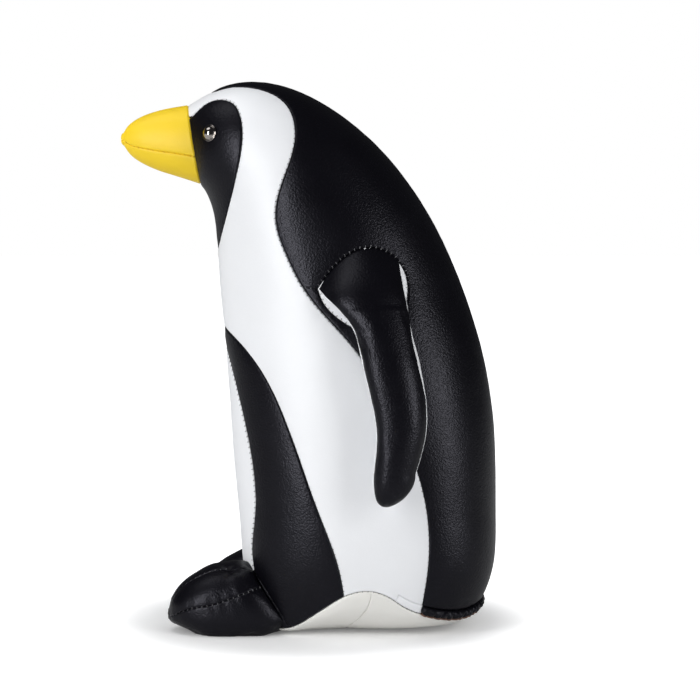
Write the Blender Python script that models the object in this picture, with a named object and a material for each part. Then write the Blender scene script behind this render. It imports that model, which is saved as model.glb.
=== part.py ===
"""A weighted, stuffed penguin sewn from smooth leather-look panels.

Run with: blender --background --python part.py
Metres, +Z up. The penguin faces -Y, its left side is +X, and it stands on Z = 0. Every sewn panel, the eye
studs, the fillings and the ballast bag are separate closed solids, GAP apart where they touch. Lengths below
are in millimetres, and make_mesh turns them into metres.
"""

import math

import bmesh
import bpy
import numpy as np
from mathutils import Matrix, Vector

MM = 0.001
GAP = 0.3
LEATHER = 1.0
FILLING_GAP = 0.8
FAR = 110.0
WIDE = 90.0

# The body. Each row is one slice, fanned out from the base up to the root of the beak:
# front point (y, z), back point (y, z), half width, and how square the slice is (2 is an ellipse).
BODY_SLICES = (
    (-24.1, -2.0, 66.6, 3.2, 35.0, 2.7),
    (-26.9, 26.7, 74.6, 25.1, 42.0, 2.6),
    (-28.7, 49.0, 75.2, 46.0, 43.2, 2.45),
    (-30.6, 70.5, 75.1, 67.2, 43.5, 2.3),
    (-33.6, 113.0, 68.2, 115.8, 41.5, 2.1),
    (-35.4, 133.2, 61.0, 138.9, 39.0, 2.0),
    (-36.8, 152.5, 48.0, 166.5, 36.5, 2.0),
    (-38.3, 166.1, 25.7, 195.2, 33.0, 2.0),
    (-41.7, 175.4, -7.9, 217.1, 27.5, 2.0),
    (-42.9, 177.0, -24.1, 219.5, 24.0, 2.0),
    (-43.4, 177.8, -38.3, 215.9, 19.0, 2.0),
    (-43.5, 178.2, -48.4, 209.4, 13.0, 2.0),
)
BODY_SIDES = 30
BODY_ROWS = 18
BASE_ROWS = 3
BASE_CENTRE = (0.0, 24.0, 0.0)
BASE_CONTACT = 0.5

# Seams, drawn on the penguin's side (y, z) and laid onto the body straight across.
BASE_SEAM = ((-40, 4), (-20, 3.2), (-7.3, 3.2), (0, 7.6), (7, 12.6), (14.2, 17.2), (24, 19.4), (32.4, 16.6),
             (38, 12.6), (44.3, 9.6), (55, 6.6), (64, 6.2), (72, 8.5), (90, 14))
CROWN_SEAM = ((-42, 223), (-33.5, 217), (-21, 216.6), (-9.8, 212.1), (-4.7, 199), (-8.9, 182.3), (-12.7, 166),
              (-8, 150), (-2.1, 138.8), (19.2, 113.9), (33, 90.4), (42.9, 67.3), (47.3, 47.5), (47.6, 30),
              (45.2, 12), (44, 0))
THROAT_Z = 152.0
FACE_TOP_Z = 203.2
FACE_SEAM = ((-46.5, FACE_TOP_Z), (-40, 209.9), (-34.9, 211.1), (-30, 210), (-26.6, 204.5), (-25.7, 197),
             (-27.3, 186), (-30.4, 174), (-33.5, 163.5), (-36.8, THROAT_Z))
LEG_TOP_Z = 122.0
BELLY_TOP_Z = 114.0
LEG_BACK_SEAM = ((-36, LEG_TOP_Z), (-28.1, 115.9), (-20.1, 107.2), (-8.3, 84.6), (3.8, 51.6), (12.2, 28),
                 (14.2, 17.2))
ANKLE_TOP = (-22.1, 25.0)
ANKLE_BOTTOM = (-7.3, 3.2)
LEG_FRONT_SEAM = ((-34, BELLY_TOP_Z), (-30.9, 104), (-25.2, 82), (-22, 64), (-21.4, 50), (-22.8, 32), ANKLE_TOP)
ARMHOLE = ((3.9, 138.2), (10.6, 146.9), (22.3, 154), (32.8, 151.3), (38.8, 144.2), (40.3, 133), (36, 124.5),
           (24, 121.5), (13, 126), (6, 133), (3.9, 138.2))
BASE_SPLIT_Y = 22.0
HEM_HEIGHT = 3.6
HEM_BULGE = 1.3
HEM_HALF_TURN = math.radians(67)
FLAP_FRONT_Y = 34.5
FLAP_REAR_Y = 44.2

# The beak: (top y, z), (bottom y, z), half width, from its root to its tip.
BEAK_SLICES = (
    (-48.9, 209.3, -43.9, 178.0, 13.0),
    (-58.5, 207.4, -52.5, 179.4, 11.6),
    (-66.6, 204.6, -61.5, 183.0, 9.0),
    (-72.4, 200.6, -69.0, 187.6, 5.6),
    (-75.0, 196.6, -74.4, 193.0, 1.9),
)
BEAK_ROWS = 7
BEAK_SIDES = 20
BEAK_SEAM_DROP = 1

# A wing: height, front y, rear y, thickness, and how far it stands off the body, from the shoulder to the tip.
WING_SLICES = (
    (153.4, 18.0, 30.5, 2.8, 0.4),
    (149.5, 11.6, 35.4, 5.0, 0.4),
    (140.0, 5.6, 37.4, 8.0, 0.5),
    (126.0, 16.6, 40.3, 10.6, 1.0),
    (112.0, 20.6, 43.3, 12.0, 1.4),
    (97.0, 24.2, 45.7, 12.0, 1.8),
    (82.0, 26.2, 45.6, 11.6, 2.0),
    (68.0, 25.2, 42.2, 10.6, 2.2),
    (59.5, 25.4, 37.6, 8.0, 3.0),
    (54.8, 28.2, 33.0, 3.6, 5.0),
)
WING_ROWS = 13
WING_SIDES = 14
WING_LEAN = 0.75
WING_HINGE = (24.0, 154.2)

# A foot: y, sole height, top height, half width, from the toe to the heel. The sole is then flattened at Z = 0.
FOOT_SLICES = (
    (-55.6, 6.6, 10.2, 3.0),
    (-52.0, 2.8, 14.2, 9.0),
    (-46.0, 0.4, 18.8, 14.6),
    (-38.0, -0.8, 23.4, 18.6),
    (-29.0, -0.8, 26.4, 19.6),
    (-20.0, -0.6, 27.4, 19.2),
    (-10.0, 0.6, 24.0, 18.0),
    (-2.0, 2.4, 16.0, 16.0),
)
FOOT_X = 21.6
FOOT_ROWS = 10
FOOT_SIDES = 16
FOOT_SIDE_SEAM = ((-60, 8.0), (-48, 9.6), (-36, 12.6), (-24, 16.4), (0, 21))
FOOT_HINGE = (FOOT_X, -22.6, 28.4)

EYE_AT = (-38.6, 198.5)
EYE_RADIUS = 3.3
EYE_HEIGHT = 2.3
EYE_POST_RADIUS = 1.1
EYE_POST_LENGTH = 6.5
WASHER_RADIUS = 4.0
WASHER_DEPTH = 3.6
WASHER_THICKNESS = 1.0

BALLAST_CENTRE = (0.0, 24.0, 32.5)
BALLAST_RADII = (31.0, 37.0, 29.5)
FILL_HOLE_RADIUS = 8.0

# Colour, roughness and metallic value of each material.
FINISHES = {
    "black_leather": ((0.012, 0.012, 0.015), 0.4, 0.0),
    "white_leather": ((0.82, 0.83, 0.85), 0.45, 0.0),
    "cream_leather": ((0.78, 0.77, 0.74), 0.5, 0.0),
    "yellow_leather": ((0.93, 0.62, 0.03), 0.45, 0.0),
    "fibre": ((0.85, 0.85, 0.83), 0.9, 0.0),
    "canvas": ((0.45, 0.42, 0.36), 0.9, 0.0),
    "nickel": ((0.45, 0.45, 0.47), 0.2, 1.0),
}


# Curves and the body's surface


def spline(points):
    """A natural cubic spline through the points, as a function of 0 to 1 along them."""
    points = np.array(points, float)
    along = np.concatenate([[0.0], np.cumsum(np.linalg.norm(np.diff(points, axis=0), axis=1))])
    along /= along[-1]
    gaps = np.diff(along)
    matrix = np.eye(len(points))
    target = np.zeros_like(points)
    for i in range(1, len(points) - 1):
        matrix[i, i - 1 : i + 2] = gaps[i - 1], 2 * (gaps[i - 1] + gaps[i]), gaps[i]
        target[i] = 6 * ((points[i + 1] - points[i]) / gaps[i] - (points[i] - points[i - 1]) / gaps[i - 1])
    bends = np.linalg.solve(matrix, target)

    def at(t):
        t = np.clip(np.asarray(t, float), 0, 1)
        i = np.clip(np.searchsorted(along, t, side="right") - 1, 0, len(gaps) - 1)
        h = gaps[i][..., None]
        a = (along[i + 1] - t)[..., None] / h
        b = 1 - a
        curve = ((a**3 - a) * bends[i] + (b**3 - b) * bends[i + 1]) * h**2 / 6
        return a * points[i] + b * points[i + 1] + curve

    return at


def smooth(points, count):
    """A line of count points along a spline through the given ones."""
    return spline(points)(np.linspace(0, 1, count))


body_slice = spline(BODY_SLICES)
base_line = smooth(BASE_SEAM, 36)


def base_height(y):
    """The height of the base seam at each y."""
    return np.interp(y, base_line[:, 0], base_line[:, 1])


def power(value, exponent):
    """A power that keeps the sign, which squares off an ellipse."""
    return np.sign(value) * np.abs(value) ** exponent


def body_point(t, angle):
    """A point of the body: t runs from the base to the beak, the angle from the front round the left."""
    front_y, front_z, back_y, back_z, half_width, square = np.moveaxis(body_slice(t), -1, 0)
    forward = power(np.cos(angle), 2 / square)
    y = (front_y + back_y) / 2 + (front_y - back_y) / 2 * forward
    z = (front_z + back_z) / 2 + (front_z - back_z) / 2 * forward
    return np.stack([half_width * power(np.sin(angle), 2 / square), y, z], -1)


def seam_crossing(angles, above=0.0):
    """The t at which each angle's line crosses the base seam, or a line some way above it."""
    low, high = np.zeros_like(angles), np.full_like(angles, 0.4)
    for _ in range(40):
        middle = (low + high) / 2
        point = body_point(middle, angles)
        under = point[..., 2] < base_height(point[..., 1]) + above
        low, high = np.where(under, middle, low), np.where(under, high, middle)
    return (low + high) / 2


def on_body(y, z):
    """The point of the body's left side at this y and z, and the outward normal there."""
    t, angle = np.meshgrid(np.linspace(0, 1, 500), np.linspace(0.02, math.pi - 0.02, 300), indexing="ij")
    grid = body_point(t, angle)
    row, column = np.unravel_index(np.argmin((grid[..., 1] - y) ** 2 + (grid[..., 2] - z) ** 2), t.shape)
    t, angle = t[row, column], angle[row, column]
    up = body_point(t + 0.002, angle) - body_point(t - 0.002, angle)
    around = body_point(t, angle + 0.01) - body_point(t, angle - 0.01)
    normal = np.cross(around, up)
    return body_point(t, angle), normal * np.sign(normal[0]) / np.linalg.norm(normal)


def ring_angles(sides):
    return np.linspace(0, 2 * math.pi, sides, endpoint=False)


def oval_ring(centre, half_a, half_b, sides, square=2.0):
    """A ring of points on two half axes: an ellipse, or a squarer oval."""
    around = ring_angles(sides)[:, None]
    return centre + half_a * power(np.cos(around), 2 / square) + half_b * power(np.sin(around), 2 / square)


# Meshes


def make_mesh(name, points, faces):
    """An object from points in millimetres, with its faces turned outwards."""
    mesh = bpy.data.meshes.new(name)
    mesh.from_pydata([tuple(MM * c for c in point) for point in points], [], faces)
    shape = bmesh.new()
    shape.from_mesh(mesh)
    bmesh.ops.recalc_face_normals(shape, faces=shape.faces)
    shape.to_mesh(mesh)
    shape.free()
    obj = bpy.data.objects.new(name, mesh)
    bpy.context.scene.collection.objects.link(obj)
    return obj


def tube_faces(rows, sides, first=0):
    """Quads between rings of points, each ring closed on itself."""
    quads = []
    for row in range(rows - 1):
        for side in range(sides):
            a = first + row * sides + side
            b = first + row * sides + (side + 1) % sides
            quads.append((a, b, b + sides, a + sides))
    return quads


def loft(name, rings):
    """A closed solid through rings of points, with a cap at each end."""
    rings = np.asarray(rings)
    count, sides = rings.shape[:2]
    points = np.concatenate([rings.reshape(-1, 3), [rings[0].mean(axis=0), rings[-1].mean(axis=0)]])
    faces = tube_faces(count, sides)
    bottom, top, last = count * sides, count * sides + 1, (count - 1) * sides
    for side in range(sides):
        after = (side + 1) % sides
        faces.append((bottom, after, side))
        faces.append((top, last + side, last + after))
    return make_mesh(name, points, faces)


def half_shell(name, outer, inner, columns):
    """A shell between two sets of rings, over the run of columns given."""
    rows, width = len(outer), len(columns)
    points = np.concatenate([outer[:, columns].reshape(-1, 3), inner[:, columns].reshape(-1, 3)])
    below = rows * width
    faces = []
    for row in range(rows - 1):
        for i in range(width - 1):
            a = row * width + i
            quad = (a, a + 1, a + 1 + width, a + width)
            faces += [quad, tuple(below + v for v in quad)]
        for i in (0, width - 1):
            a = row * width + i
            faces.append((a, a + width, below + a + width, below + a))
    for row in (0, rows - 1):
        for i in range(width - 1):
            a = row * width + i
            faces.append((a, a + 1, below + a + 1, below + a))
    return make_mesh(name, points, faces)


def turned(name, profile, point, direction, sides=14):
    """A solid of revolution: (radius, height) pairs along a direction from a point."""
    turn = Vector(direction).to_track_quat("Z", "Y")
    rings = []
    for radius, height in profile:
        ring = [turn @ Vector((radius * math.cos(a), radius * math.sin(a), height)) for a in ring_angles(sides)]
        rings.append(np.array(ring) + point)
    return loft(name, rings)


def ellipsoid(name, centre, radii, sides=18, rows=9):
    rings = []
    for row in range(1, rows):
        tilt = math.pi * (row / rows - 0.5)
        ring = oval_ring(np.zeros(3), np.array([1, 0, 0]), np.array([0, 1, 0]), sides) * math.cos(tilt)
        rings.append(np.array(centre) + (ring + (0, 0, math.sin(tilt))) * radii)
    return loft(name, rings)


def inset_outline(outline, distance):
    """A closed outline moved inwards by the distance all along."""
    outline = np.array(outline, float)
    following = np.roll(outline, -1, axis=0)
    area = np.sum(outline[:, 0] * following[:, 1] - following[:, 0] * outline[:, 1])
    edges = following - outline
    normals = np.stack([-edges[:, 1], edges[:, 0]], 1) * np.sign(area)
    normals /= np.linalg.norm(normals, axis=1, keepdims=True)
    before = np.roll(normals, 1, axis=0)
    spread = 1 + np.sum(normals * before, axis=1, keepdims=True)
    return outline + distance * (normals + before) / np.maximum(spread, 0.3)


def prism(outline, low_x, high_x, inwards=GAP / 2):
    """A cutter: a side-view outline (y, z) pushed through from low_x to high_x."""
    outline = inset_outline(outline, inwards)
    count = len(outline)
    points = [(x, y, z) for x in (low_x, high_x) for y, z in outline]
    faces = [tuple(range(count)), tuple(range(2 * count - 1, count - 1, -1))]
    for i in range(count):
        after = (i + 1) % count
        faces.append((i, after, count + after, count + i))
    return make_mesh("cutter", points, faces)


def combine(obj, cutter, operation, keep_cutter=False):
    """Apply one exact Boolean, and remove the cutter unless it is needed again."""
    modifier = obj.modifiers.new(operation.lower(), "BOOLEAN")
    modifier.operation = operation
    modifier.object = cutter
    evaluated = obj.evaluated_get(bpy.context.evaluated_depsgraph_get())
    mesh = bpy.data.meshes.new_from_object(evaluated)
    obj.modifiers.clear()
    obj.data = mesh
    if not keep_cutter:
        bpy.data.objects.remove(cutter)
    return obj


def copy_of(obj, name):
    twin = bpy.data.objects.new(name, obj.data.copy())
    bpy.context.scene.collection.objects.link(twin)
    return twin


def finish(obj, kind):
    """Weld, shade smooth and colour one finished piece."""
    shape = bmesh.new()
    shape.from_mesh(obj.data)
    bmesh.ops.remove_doubles(shape, verts=shape.verts, dist=0.002 * MM)
    bmesh.ops.dissolve_degenerate(shape, edges=shape.edges, dist=0.001 * MM)
    shape.to_mesh(obj.data)
    shape.free()
    obj.data.shade_smooth()
    obj.data.set_sharp_from_angle(angle=math.radians(40))
    colour, roughness, metallic = FINISHES[kind]
    material = bpy.data.materials.new(f"{obj.name}_{kind}")
    material.use_nodes = True
    shader = material.node_tree.nodes["Principled BSDF"]
    shader.inputs["Base Color"].default_value = (*colour, 1)
    shader.inputs["Roughness"].default_value = roughness
    shader.inputs["Metallic"].default_value = metallic
    obj.data.materials.clear()
    obj.data.materials.append(material)


def finish_pair(left, kind, hinge=None):
    """Finish a left-hand piece and its right-hand twin, with their origins on the hinge if they move."""
    right = copy_of(left, left.name.replace("left", "right"))
    right.data.transform(Matrix.Scale(-1, 4, Vector((1, 0, 0))))
    right.data.flip_normals()
    for obj, side in ((left, 1), (right, -1)):
        finish(obj, kind)
        if hinge is not None:
            obj.location = Vector((side * hinge[0], hinge[1], hinge[2])) * MM
            obj.data.transform(Matrix.Translation(-obj.location))


# The body: its whole form, its panels, the hem and what fills it


def body_rings():
    """Rings of points from the middle of the base out to the base seam and up to the beak."""
    angles = ring_angles(BODY_SIDES)
    start = seam_crossing(angles)
    seam = body_point(start, angles)
    spoke = seam * (1, 1, 0) - BASE_CENTRE
    rings = [BASE_CENTRE + spoke * BASE_CONTACT / 2, BASE_CENTRE + spoke * BASE_CONTACT]
    for step in range(1, BASE_ROWS):
        bend = math.pi / 2 * step / BASE_ROWS
        ring = BASE_CENTRE + spoke * (BASE_CONTACT + (1 - BASE_CONTACT) * math.sin(bend))
        ring[:, 2] = seam[:, 2] * (1 - math.cos(bend))
        rings.append(ring)
    for row in range(BODY_ROWS + 1):
        rings.append(body_point(start + (1 - start) * row / BODY_ROWS, angles))
    return np.array(rings)


def offset_body(rings, inwards):
    """The body's rings moved along the surface's own normals, into the body."""
    along = np.gradient(rings, axis=0)
    around = np.roll(rings, -1, axis=1) - np.roll(rings, 1, axis=1)
    normals = np.cross(around, along)
    normals /= np.linalg.norm(normals, axis=2, keepdims=True)
    moved = rings - normals * inwards
    moved[:2, :, 2] = inwards
    return moved


def body_form(name, inwards):
    """The whole body as one solid, smaller all over by the distance given."""
    rings = offset_body(body_rings(), inwards)
    if inwards > 0:
        rings[-1] += (rings[-2] - rings[-1]) * 0.1
    return loft(name, rings)


def body_skin():
    """The body's leather as one cup-shaped solid, open where the beak goes on."""
    outer = body_rings()
    inner = offset_body(outer, LEATHER)
    count, sides = outer.shape[:2]
    middles = [outer[0].mean(axis=0), inner[0].mean(axis=0)]
    points = np.concatenate([outer.reshape(-1, 3), inner.reshape(-1, 3), middles])
    below, last = count * sides, (count - 1) * sides
    faces = tube_faces(count, sides) + tube_faces(count, sides, below)
    for side in range(sides):
        after = (side + 1) % sides
        faces.append((2 * below, after, side))
        faces.append((2 * below + 1, below + side, below + after))
        faces.append((last + side, last + after, below + last + after, below + last + side))
    return make_mesh("body_skin", points, faces)


def eye_turned(profile, side=1):
    """Something turned about the left or the right eye's own axis."""
    point, normal = on_body(*EYE_AT)
    flip = np.array([side, 1, 1])
    return turned("cutter", profile, point * flip, normal * flip)


def side_panels(skin):
    """The panels that come in pairs, each cut out of the skin by its own outline."""
    crown, face = smooth(CROWN_SEAM, 30), smooth(FACE_SEAM, 18)
    leg_back, leg_front = smooth(LEG_BACK_SEAM, 9), smooth(LEG_FRONT_SEAM, 9)
    crown = crown[crown[:, 1] > base_height(crown[:, 0]) + 0.5]
    crown_foot_y = crown[-1, 0]
    base_y = base_line[:, 0]
    under_leg = base_line[(base_y > ANKLE_BOTTOM[0] + 1) & (base_y < LEG_BACK_SEAM[-1][0] - 1)]
    under_side = base_line[(base_y > LEG_BACK_SEAM[-1][0] + 1) & (base_y < crown_foot_y - 1)]
    hem_top = base_line[base_y > crown_foot_y] + (0, HEM_HEIGHT)
    flap_base = np.array([(y, base_height(y)) for y in np.linspace(FLAP_FRONT_Y, FLAP_REAR_Y, 5)])
    outlines = {
        "face_patch": [*face, (-FAR, THROAT_Z), (-FAR, FACE_TOP_Z)],
        "side_panel": [*crown, *under_side[::-1], *leg_back[::-1], (-FAR, LEG_TOP_Z), (-FAR, THROAT_Z),
                       *face[::-1], (-FAR, FACE_TOP_Z), (-FAR, 2 * FAR + 10), (crown[0][0], 2 * FAR + 10)],
        "back_panel": [(crown[0][0], 2 * FAR + 10), *crown[:-1], *hem_top, (FAR, 2 * FAR + 10)],
        "leg_panel": [*leg_front[::-1], (-FAR, BELLY_TOP_Z), (-FAR, LEG_TOP_Z), *leg_back, *under_leg[::-1],
                      ANKLE_BOTTOM],
        "closing_flap": [*flap_base, *(flap_base[::-1] + (0, HEM_HEIGHT))],
        "underarm_panel": smooth(ARMHOLE, 19)[:-1],
    }
    white = ("side_panel", "closing_flap", "underarm_panel")
    holes = {"side_panel": "closing_flap", "back_panel": "underarm_panel"}
    for name, outline in outlines.items():
        panel = combine(copy_of(skin, f"{name}_left"), prism(outline, GAP / 2, WIDE), "INTERSECT")
        if name in holes:
            combine(panel, prism(outlines[holes[name]], GAP / 2, WIDE, -GAP / 2), "DIFFERENCE")
        if name == "face_patch":
            radius = EYE_POST_RADIUS + GAP
            combine(panel, eye_turned([(radius, -EYE_POST_LENGTH), (radius, EYE_POST_LENGTH)]), "DIFFERENCE")
        finish_pair(panel, "white_leather" if name in white else "black_leather")


def centre_panels(skin):
    """The belly between the legs, and the two pieces of the base."""
    leg_front = smooth(LEG_FRONT_SEAM, 9)
    base_y = base_line[:, 0]
    split = (BASE_SPLIT_Y, base_height(BASE_SPLIT_Y))
    low_front, low_split, low_rear = (-FAR, -9), (BASE_SPLIT_Y, -9), (FAR, -9)
    seam_front, seam_rear = (-FAR, base_line[0, 1]), (FAR, base_line[-1, 1])
    under_belly = base_line[base_y < ANKLE_BOTTOM[0] - 1]
    outlines = {
        "belly_panel": ([*leg_front, ANKLE_BOTTOM, *under_belly[::-1], seam_front, (-FAR, BELLY_TOP_Z)],
                        "white_leather"),
        "base_panel_front": ([seam_front, *base_line[base_y < BASE_SPLIT_Y], split, low_split, low_front],
                             "cream_leather"),
        "base_panel_rear": ([split, *base_line[base_y > BASE_SPLIT_Y], seam_rear, low_rear, low_split],
                            "cream_leather"),
    }
    for name, (outline, kind) in outlines.items():
        finish(combine(copy_of(skin, name), prism(outline, -WIDE, WIDE), "INTERSECT"), kind)


def closing_hem():
    """The gathered roll that closes the filling opening, round the rear above the base."""
    angles = np.linspace(math.pi - HEM_HALF_TURN, math.pi + HEM_HALF_TURN, 19)
    t = seam_crossing(angles, HEM_HEIGHT / 2)
    centres = body_point(t, angles)
    up = body_point(t + 0.004, angles) - body_point(t - 0.004, angles)
    around = body_point(t, angles + 0.01) - body_point(t, angles - 0.01)
    out = np.cross(around, up)
    half_height = HEM_HEIGHT / 2 - GAP
    rings = []
    for centre, upwards, outwards in zip(centres, up, out):
        upwards = upwards / np.linalg.norm(upwards) * half_height
        outwards = outwards / np.linalg.norm(outwards) * HEM_BULGE
        rings.append(oval_ring(centre, upwards, outwards, 8))
    finish(loft("closing_hem", rings), "black_leather")


def fillings():
    """The fibre filling of the body, and the ballast bag let into it from below."""
    filling = body_form("body_filling", LEATHER + FILLING_GAP)
    room = np.array(BALLAST_RADII) + 2 * GAP
    combine(filling, ellipsoid("cutter", BALLAST_CENTRE, room), "DIFFERENCE")
    way_in = [(FILL_HOLE_RADIUS, -5), (FILL_HOLE_RADIUS, BALLAST_CENTRE[2])]
    combine(filling, turned("cutter", way_in, BASE_CENTRE, (0, 0, 1)), "DIFFERENCE")
    eye_room = WASHER_RADIUS + GAP
    for side in (1, -1):
        pocket = eye_turned([(eye_room, -EYE_POST_LENGTH - 1), (eye_room, EYE_POST_LENGTH)], side)
        combine(filling, pocket, "DIFFERENCE")
    finish(filling, "fibre")
    finish(ellipsoid("ballast_bag", BALLAST_CENTRE, BALLAST_RADII), "canvas")


# The eyes, the beak, the wings and the feet


def eyes():
    """Domed metal studs, each with a post through the face patch and a washer pushed on behind."""
    dome = [(EYE_RADIUS * math.cos(a), GAP + EYE_HEIGHT * math.sin(a)) for a in np.radians([0, 25, 45, 65, 82])]
    stud = eye_turned([(EYE_POST_RADIUS, -EYE_POST_LENGTH), (EYE_POST_RADIUS, GAP), *dome])
    stud.name = "eye_left"
    washer = eye_turned([(WASHER_RADIUS, -WASHER_DEPTH), (WASHER_RADIUS, WASHER_THICKNESS - WASHER_DEPTH)])
    washer.name = "eye_washer_left"
    hole = EYE_POST_RADIUS + GAP
    combine(washer, eye_turned([(hole, -2 * WASHER_DEPTH), (hole, 0)]), "DIFFERENCE")
    finish_pair(stud, "nickel")
    finish_pair(washer, "nickel")


def beak_rings(inwards):
    rings = []
    for top_y, top_z, low_y, low_z, half_width in smooth(BEAK_SLICES, BEAK_ROWS):
        top, low = np.array([0, top_y, top_z]), np.array([0, low_y, low_z])
        half = (top - low) / 2
        half *= 1 - inwards / np.linalg.norm(half)
        rings.append(oval_ring((top + low) / 2, np.array([half_width - inwards, 0, 0]), half, BEAK_SIDES))
    return np.array(rings)


def beak():
    """Two beak halves sewn along the sides, over a core of filling."""
    outer, inner = beak_rings(0), beak_rings(LEATHER)
    half = BEAK_SIDES // 2
    halves = (
        ("beak_upper", -BEAK_SEAM_DROP, half + 2 * BEAK_SEAM_DROP, GAP / 2),
        ("beak_lower", half + BEAK_SEAM_DROP, half - 2 * BEAK_SEAM_DROP, -GAP / 2),
    )
    for name, first, width, lift in halves:
        columns = [(first + i) % BEAK_SIDES for i in range(width + 1)]
        piece = half_shell(name, outer, inner, columns)
        piece.data.transform(Matrix.Translation((0, 0, lift * MM)))
        finish(piece, "yellow_leather")
    core = beak_rings(LEATHER + FILLING_GAP)
    core[0] += (core[1] - core[0]) * 0.2
    finish(loft("beak_filling", core[:-1]), "fibre")


def wing_rings(inwards):
    """A wing's slices, each lying along the body at its own height."""
    rings = []
    for z, front, rear, thickness, clearance in smooth(WING_SLICES, WING_ROWS):
        middle = (front + rear) / 2
        lean = (on_body(front, z)[0][0] - on_body(rear, z)[0][0]) * WING_LEAN
        centre = np.array([on_body(middle, z)[0][0] + clearance + thickness / 2, middle, z])
        chord = np.array([-lean / 2, (rear - front) / 2, 0])
        chord *= 1 - inwards / np.linalg.norm(chord)
        rings.append(oval_ring(centre, chord, np.array([thickness / 2 - inwards, 0, 0]), WING_SIDES, 2.2))
    return np.array(rings)


def wings():
    """Each wing is an outer panel and a lining, sewn edge to edge round a thin core."""
    outer, inner, core = wing_rings(0), wing_rings(LEATHER), wing_rings(LEATHER + GAP)
    shoulder, _ = on_body(*WING_HINGE)
    hinge = (shoulder[0] + GAP, WING_HINGE[0], WING_HINGE[1])
    half = WING_SIDES // 2
    for name, first, kind, side in (("wing_outer_left", 0, "black_leather", 1),
                                    ("wing_lining_left", half, "white_leather", -1)):
        columns = [(first + i) % WING_SIDES for i in range(half + 1)]
        piece = half_shell(name, outer, inner, columns)
        piece.data.transform(Matrix.Translation((side * GAP / 2 * MM, 0, 0)))
        finish_pair(piece, kind, hinge)
    finish_pair(loft("wing_filling_left", core[1:-1]), "fibre", hinge)


def foot_form(name, inwards):
    """A foot as one solid, smaller all over by the distance given, with its sole flattened on the floor."""
    rings = []
    for y, low, top, half_width in smooth(FOOT_SLICES, FOOT_ROWS):
        centre = np.array([FOOT_X, y, (low + top) / 2])
        across, tall = np.array([half_width - inwards, 0, 0]), np.array([0, 0, (top - low) / 2 - inwards])
        ring = oval_ring(centre, across, tall, FOOT_SIDES, 2.3)
        ring[:, 2] = np.maximum(ring[:, 2], inwards)
        rings.append(ring)
    rings[0][:, 1] += inwards
    return loft(name, rings)


def feet():
    """Each foot is two uppers and a sole over a core, closed against the leg along the ankle."""
    (top_y, top_z), (low_y, low_z) = ANKLE_TOP, ANKLE_BOTTOM
    slope = (top_y - low_y) / (top_z - low_z)
    ankle = [(top_y + slope * (z - top_z), z) for z in (60, -9)]
    in_front = [*ankle, (-WIDE, -9), (-WIDE, 60)]
    seam = smooth(FOOT_SIDE_SEAM, 6)
    above = [*seam, (20, 60), (-WIDE, 60), (-WIDE, seam[0][1])]
    below = [*seam, (20, -9), (-WIDE, -9), (-WIDE, seam[0][1])]
    regions = {
        "foot_upper_outer_left": (above, FOOT_X + GAP / 2, WIDE),
        "foot_upper_inner_left": (above, 0, FOOT_X - GAP / 2),
        "foot_sole_left": (below, 0, WIDE),
    }
    body = body_form("body_clearance", -GAP)
    shell = combine(foot_form("foot_shell", 0), foot_form("cutter", LEATHER), "DIFFERENCE")
    core = foot_form("foot_filling_left", LEATHER + GAP)
    for solid in (shell, core):
        combine(solid, prism(in_front, 0, WIDE), "INTERSECT")
        combine(solid, body, "DIFFERENCE", keep_cutter=True)
    for name, (outline, low_x, high_x) in regions.items():
        piece = combine(copy_of(shell, name), prism(outline, low_x, high_x), "INTERSECT")
        finish_pair(piece, "black_leather", FOOT_HINGE)
    finish_pair(core, "fibre", FOOT_HINGE)
    for helper in (shell, body):
        bpy.data.objects.remove(helper)


def main():
    for obj in list(bpy.data.objects):
        bpy.data.objects.remove(obj)
    skin = body_skin()
    side_panels(skin)
    centre_panels(skin)
    bpy.data.objects.remove(skin)
    closing_hem()
    fillings()
    eyes()
    beak()
    wings()
    feet()
    print("wing hinge, mm:", on_body(*WING_HINGE)[0].round(2), "foot hinge, mm:", FOOT_HINGE)


main()
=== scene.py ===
# %% [markdown]
# # A weighted penguin in smooth faux leather
# The penguin is sewn from thin panels of coated fabric, stuffed hard and weighted in the base. This lesson
# builds what the eye sees: each panel with its rolled seam edges, the stitches, the metal eyes, the padded
# beak, wings and feet, and the finish of each material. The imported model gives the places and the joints.

import math

import bpy
import numpy as np
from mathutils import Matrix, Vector, noise
from mathutils.geometry import delaunay_2d_cdt


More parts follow.
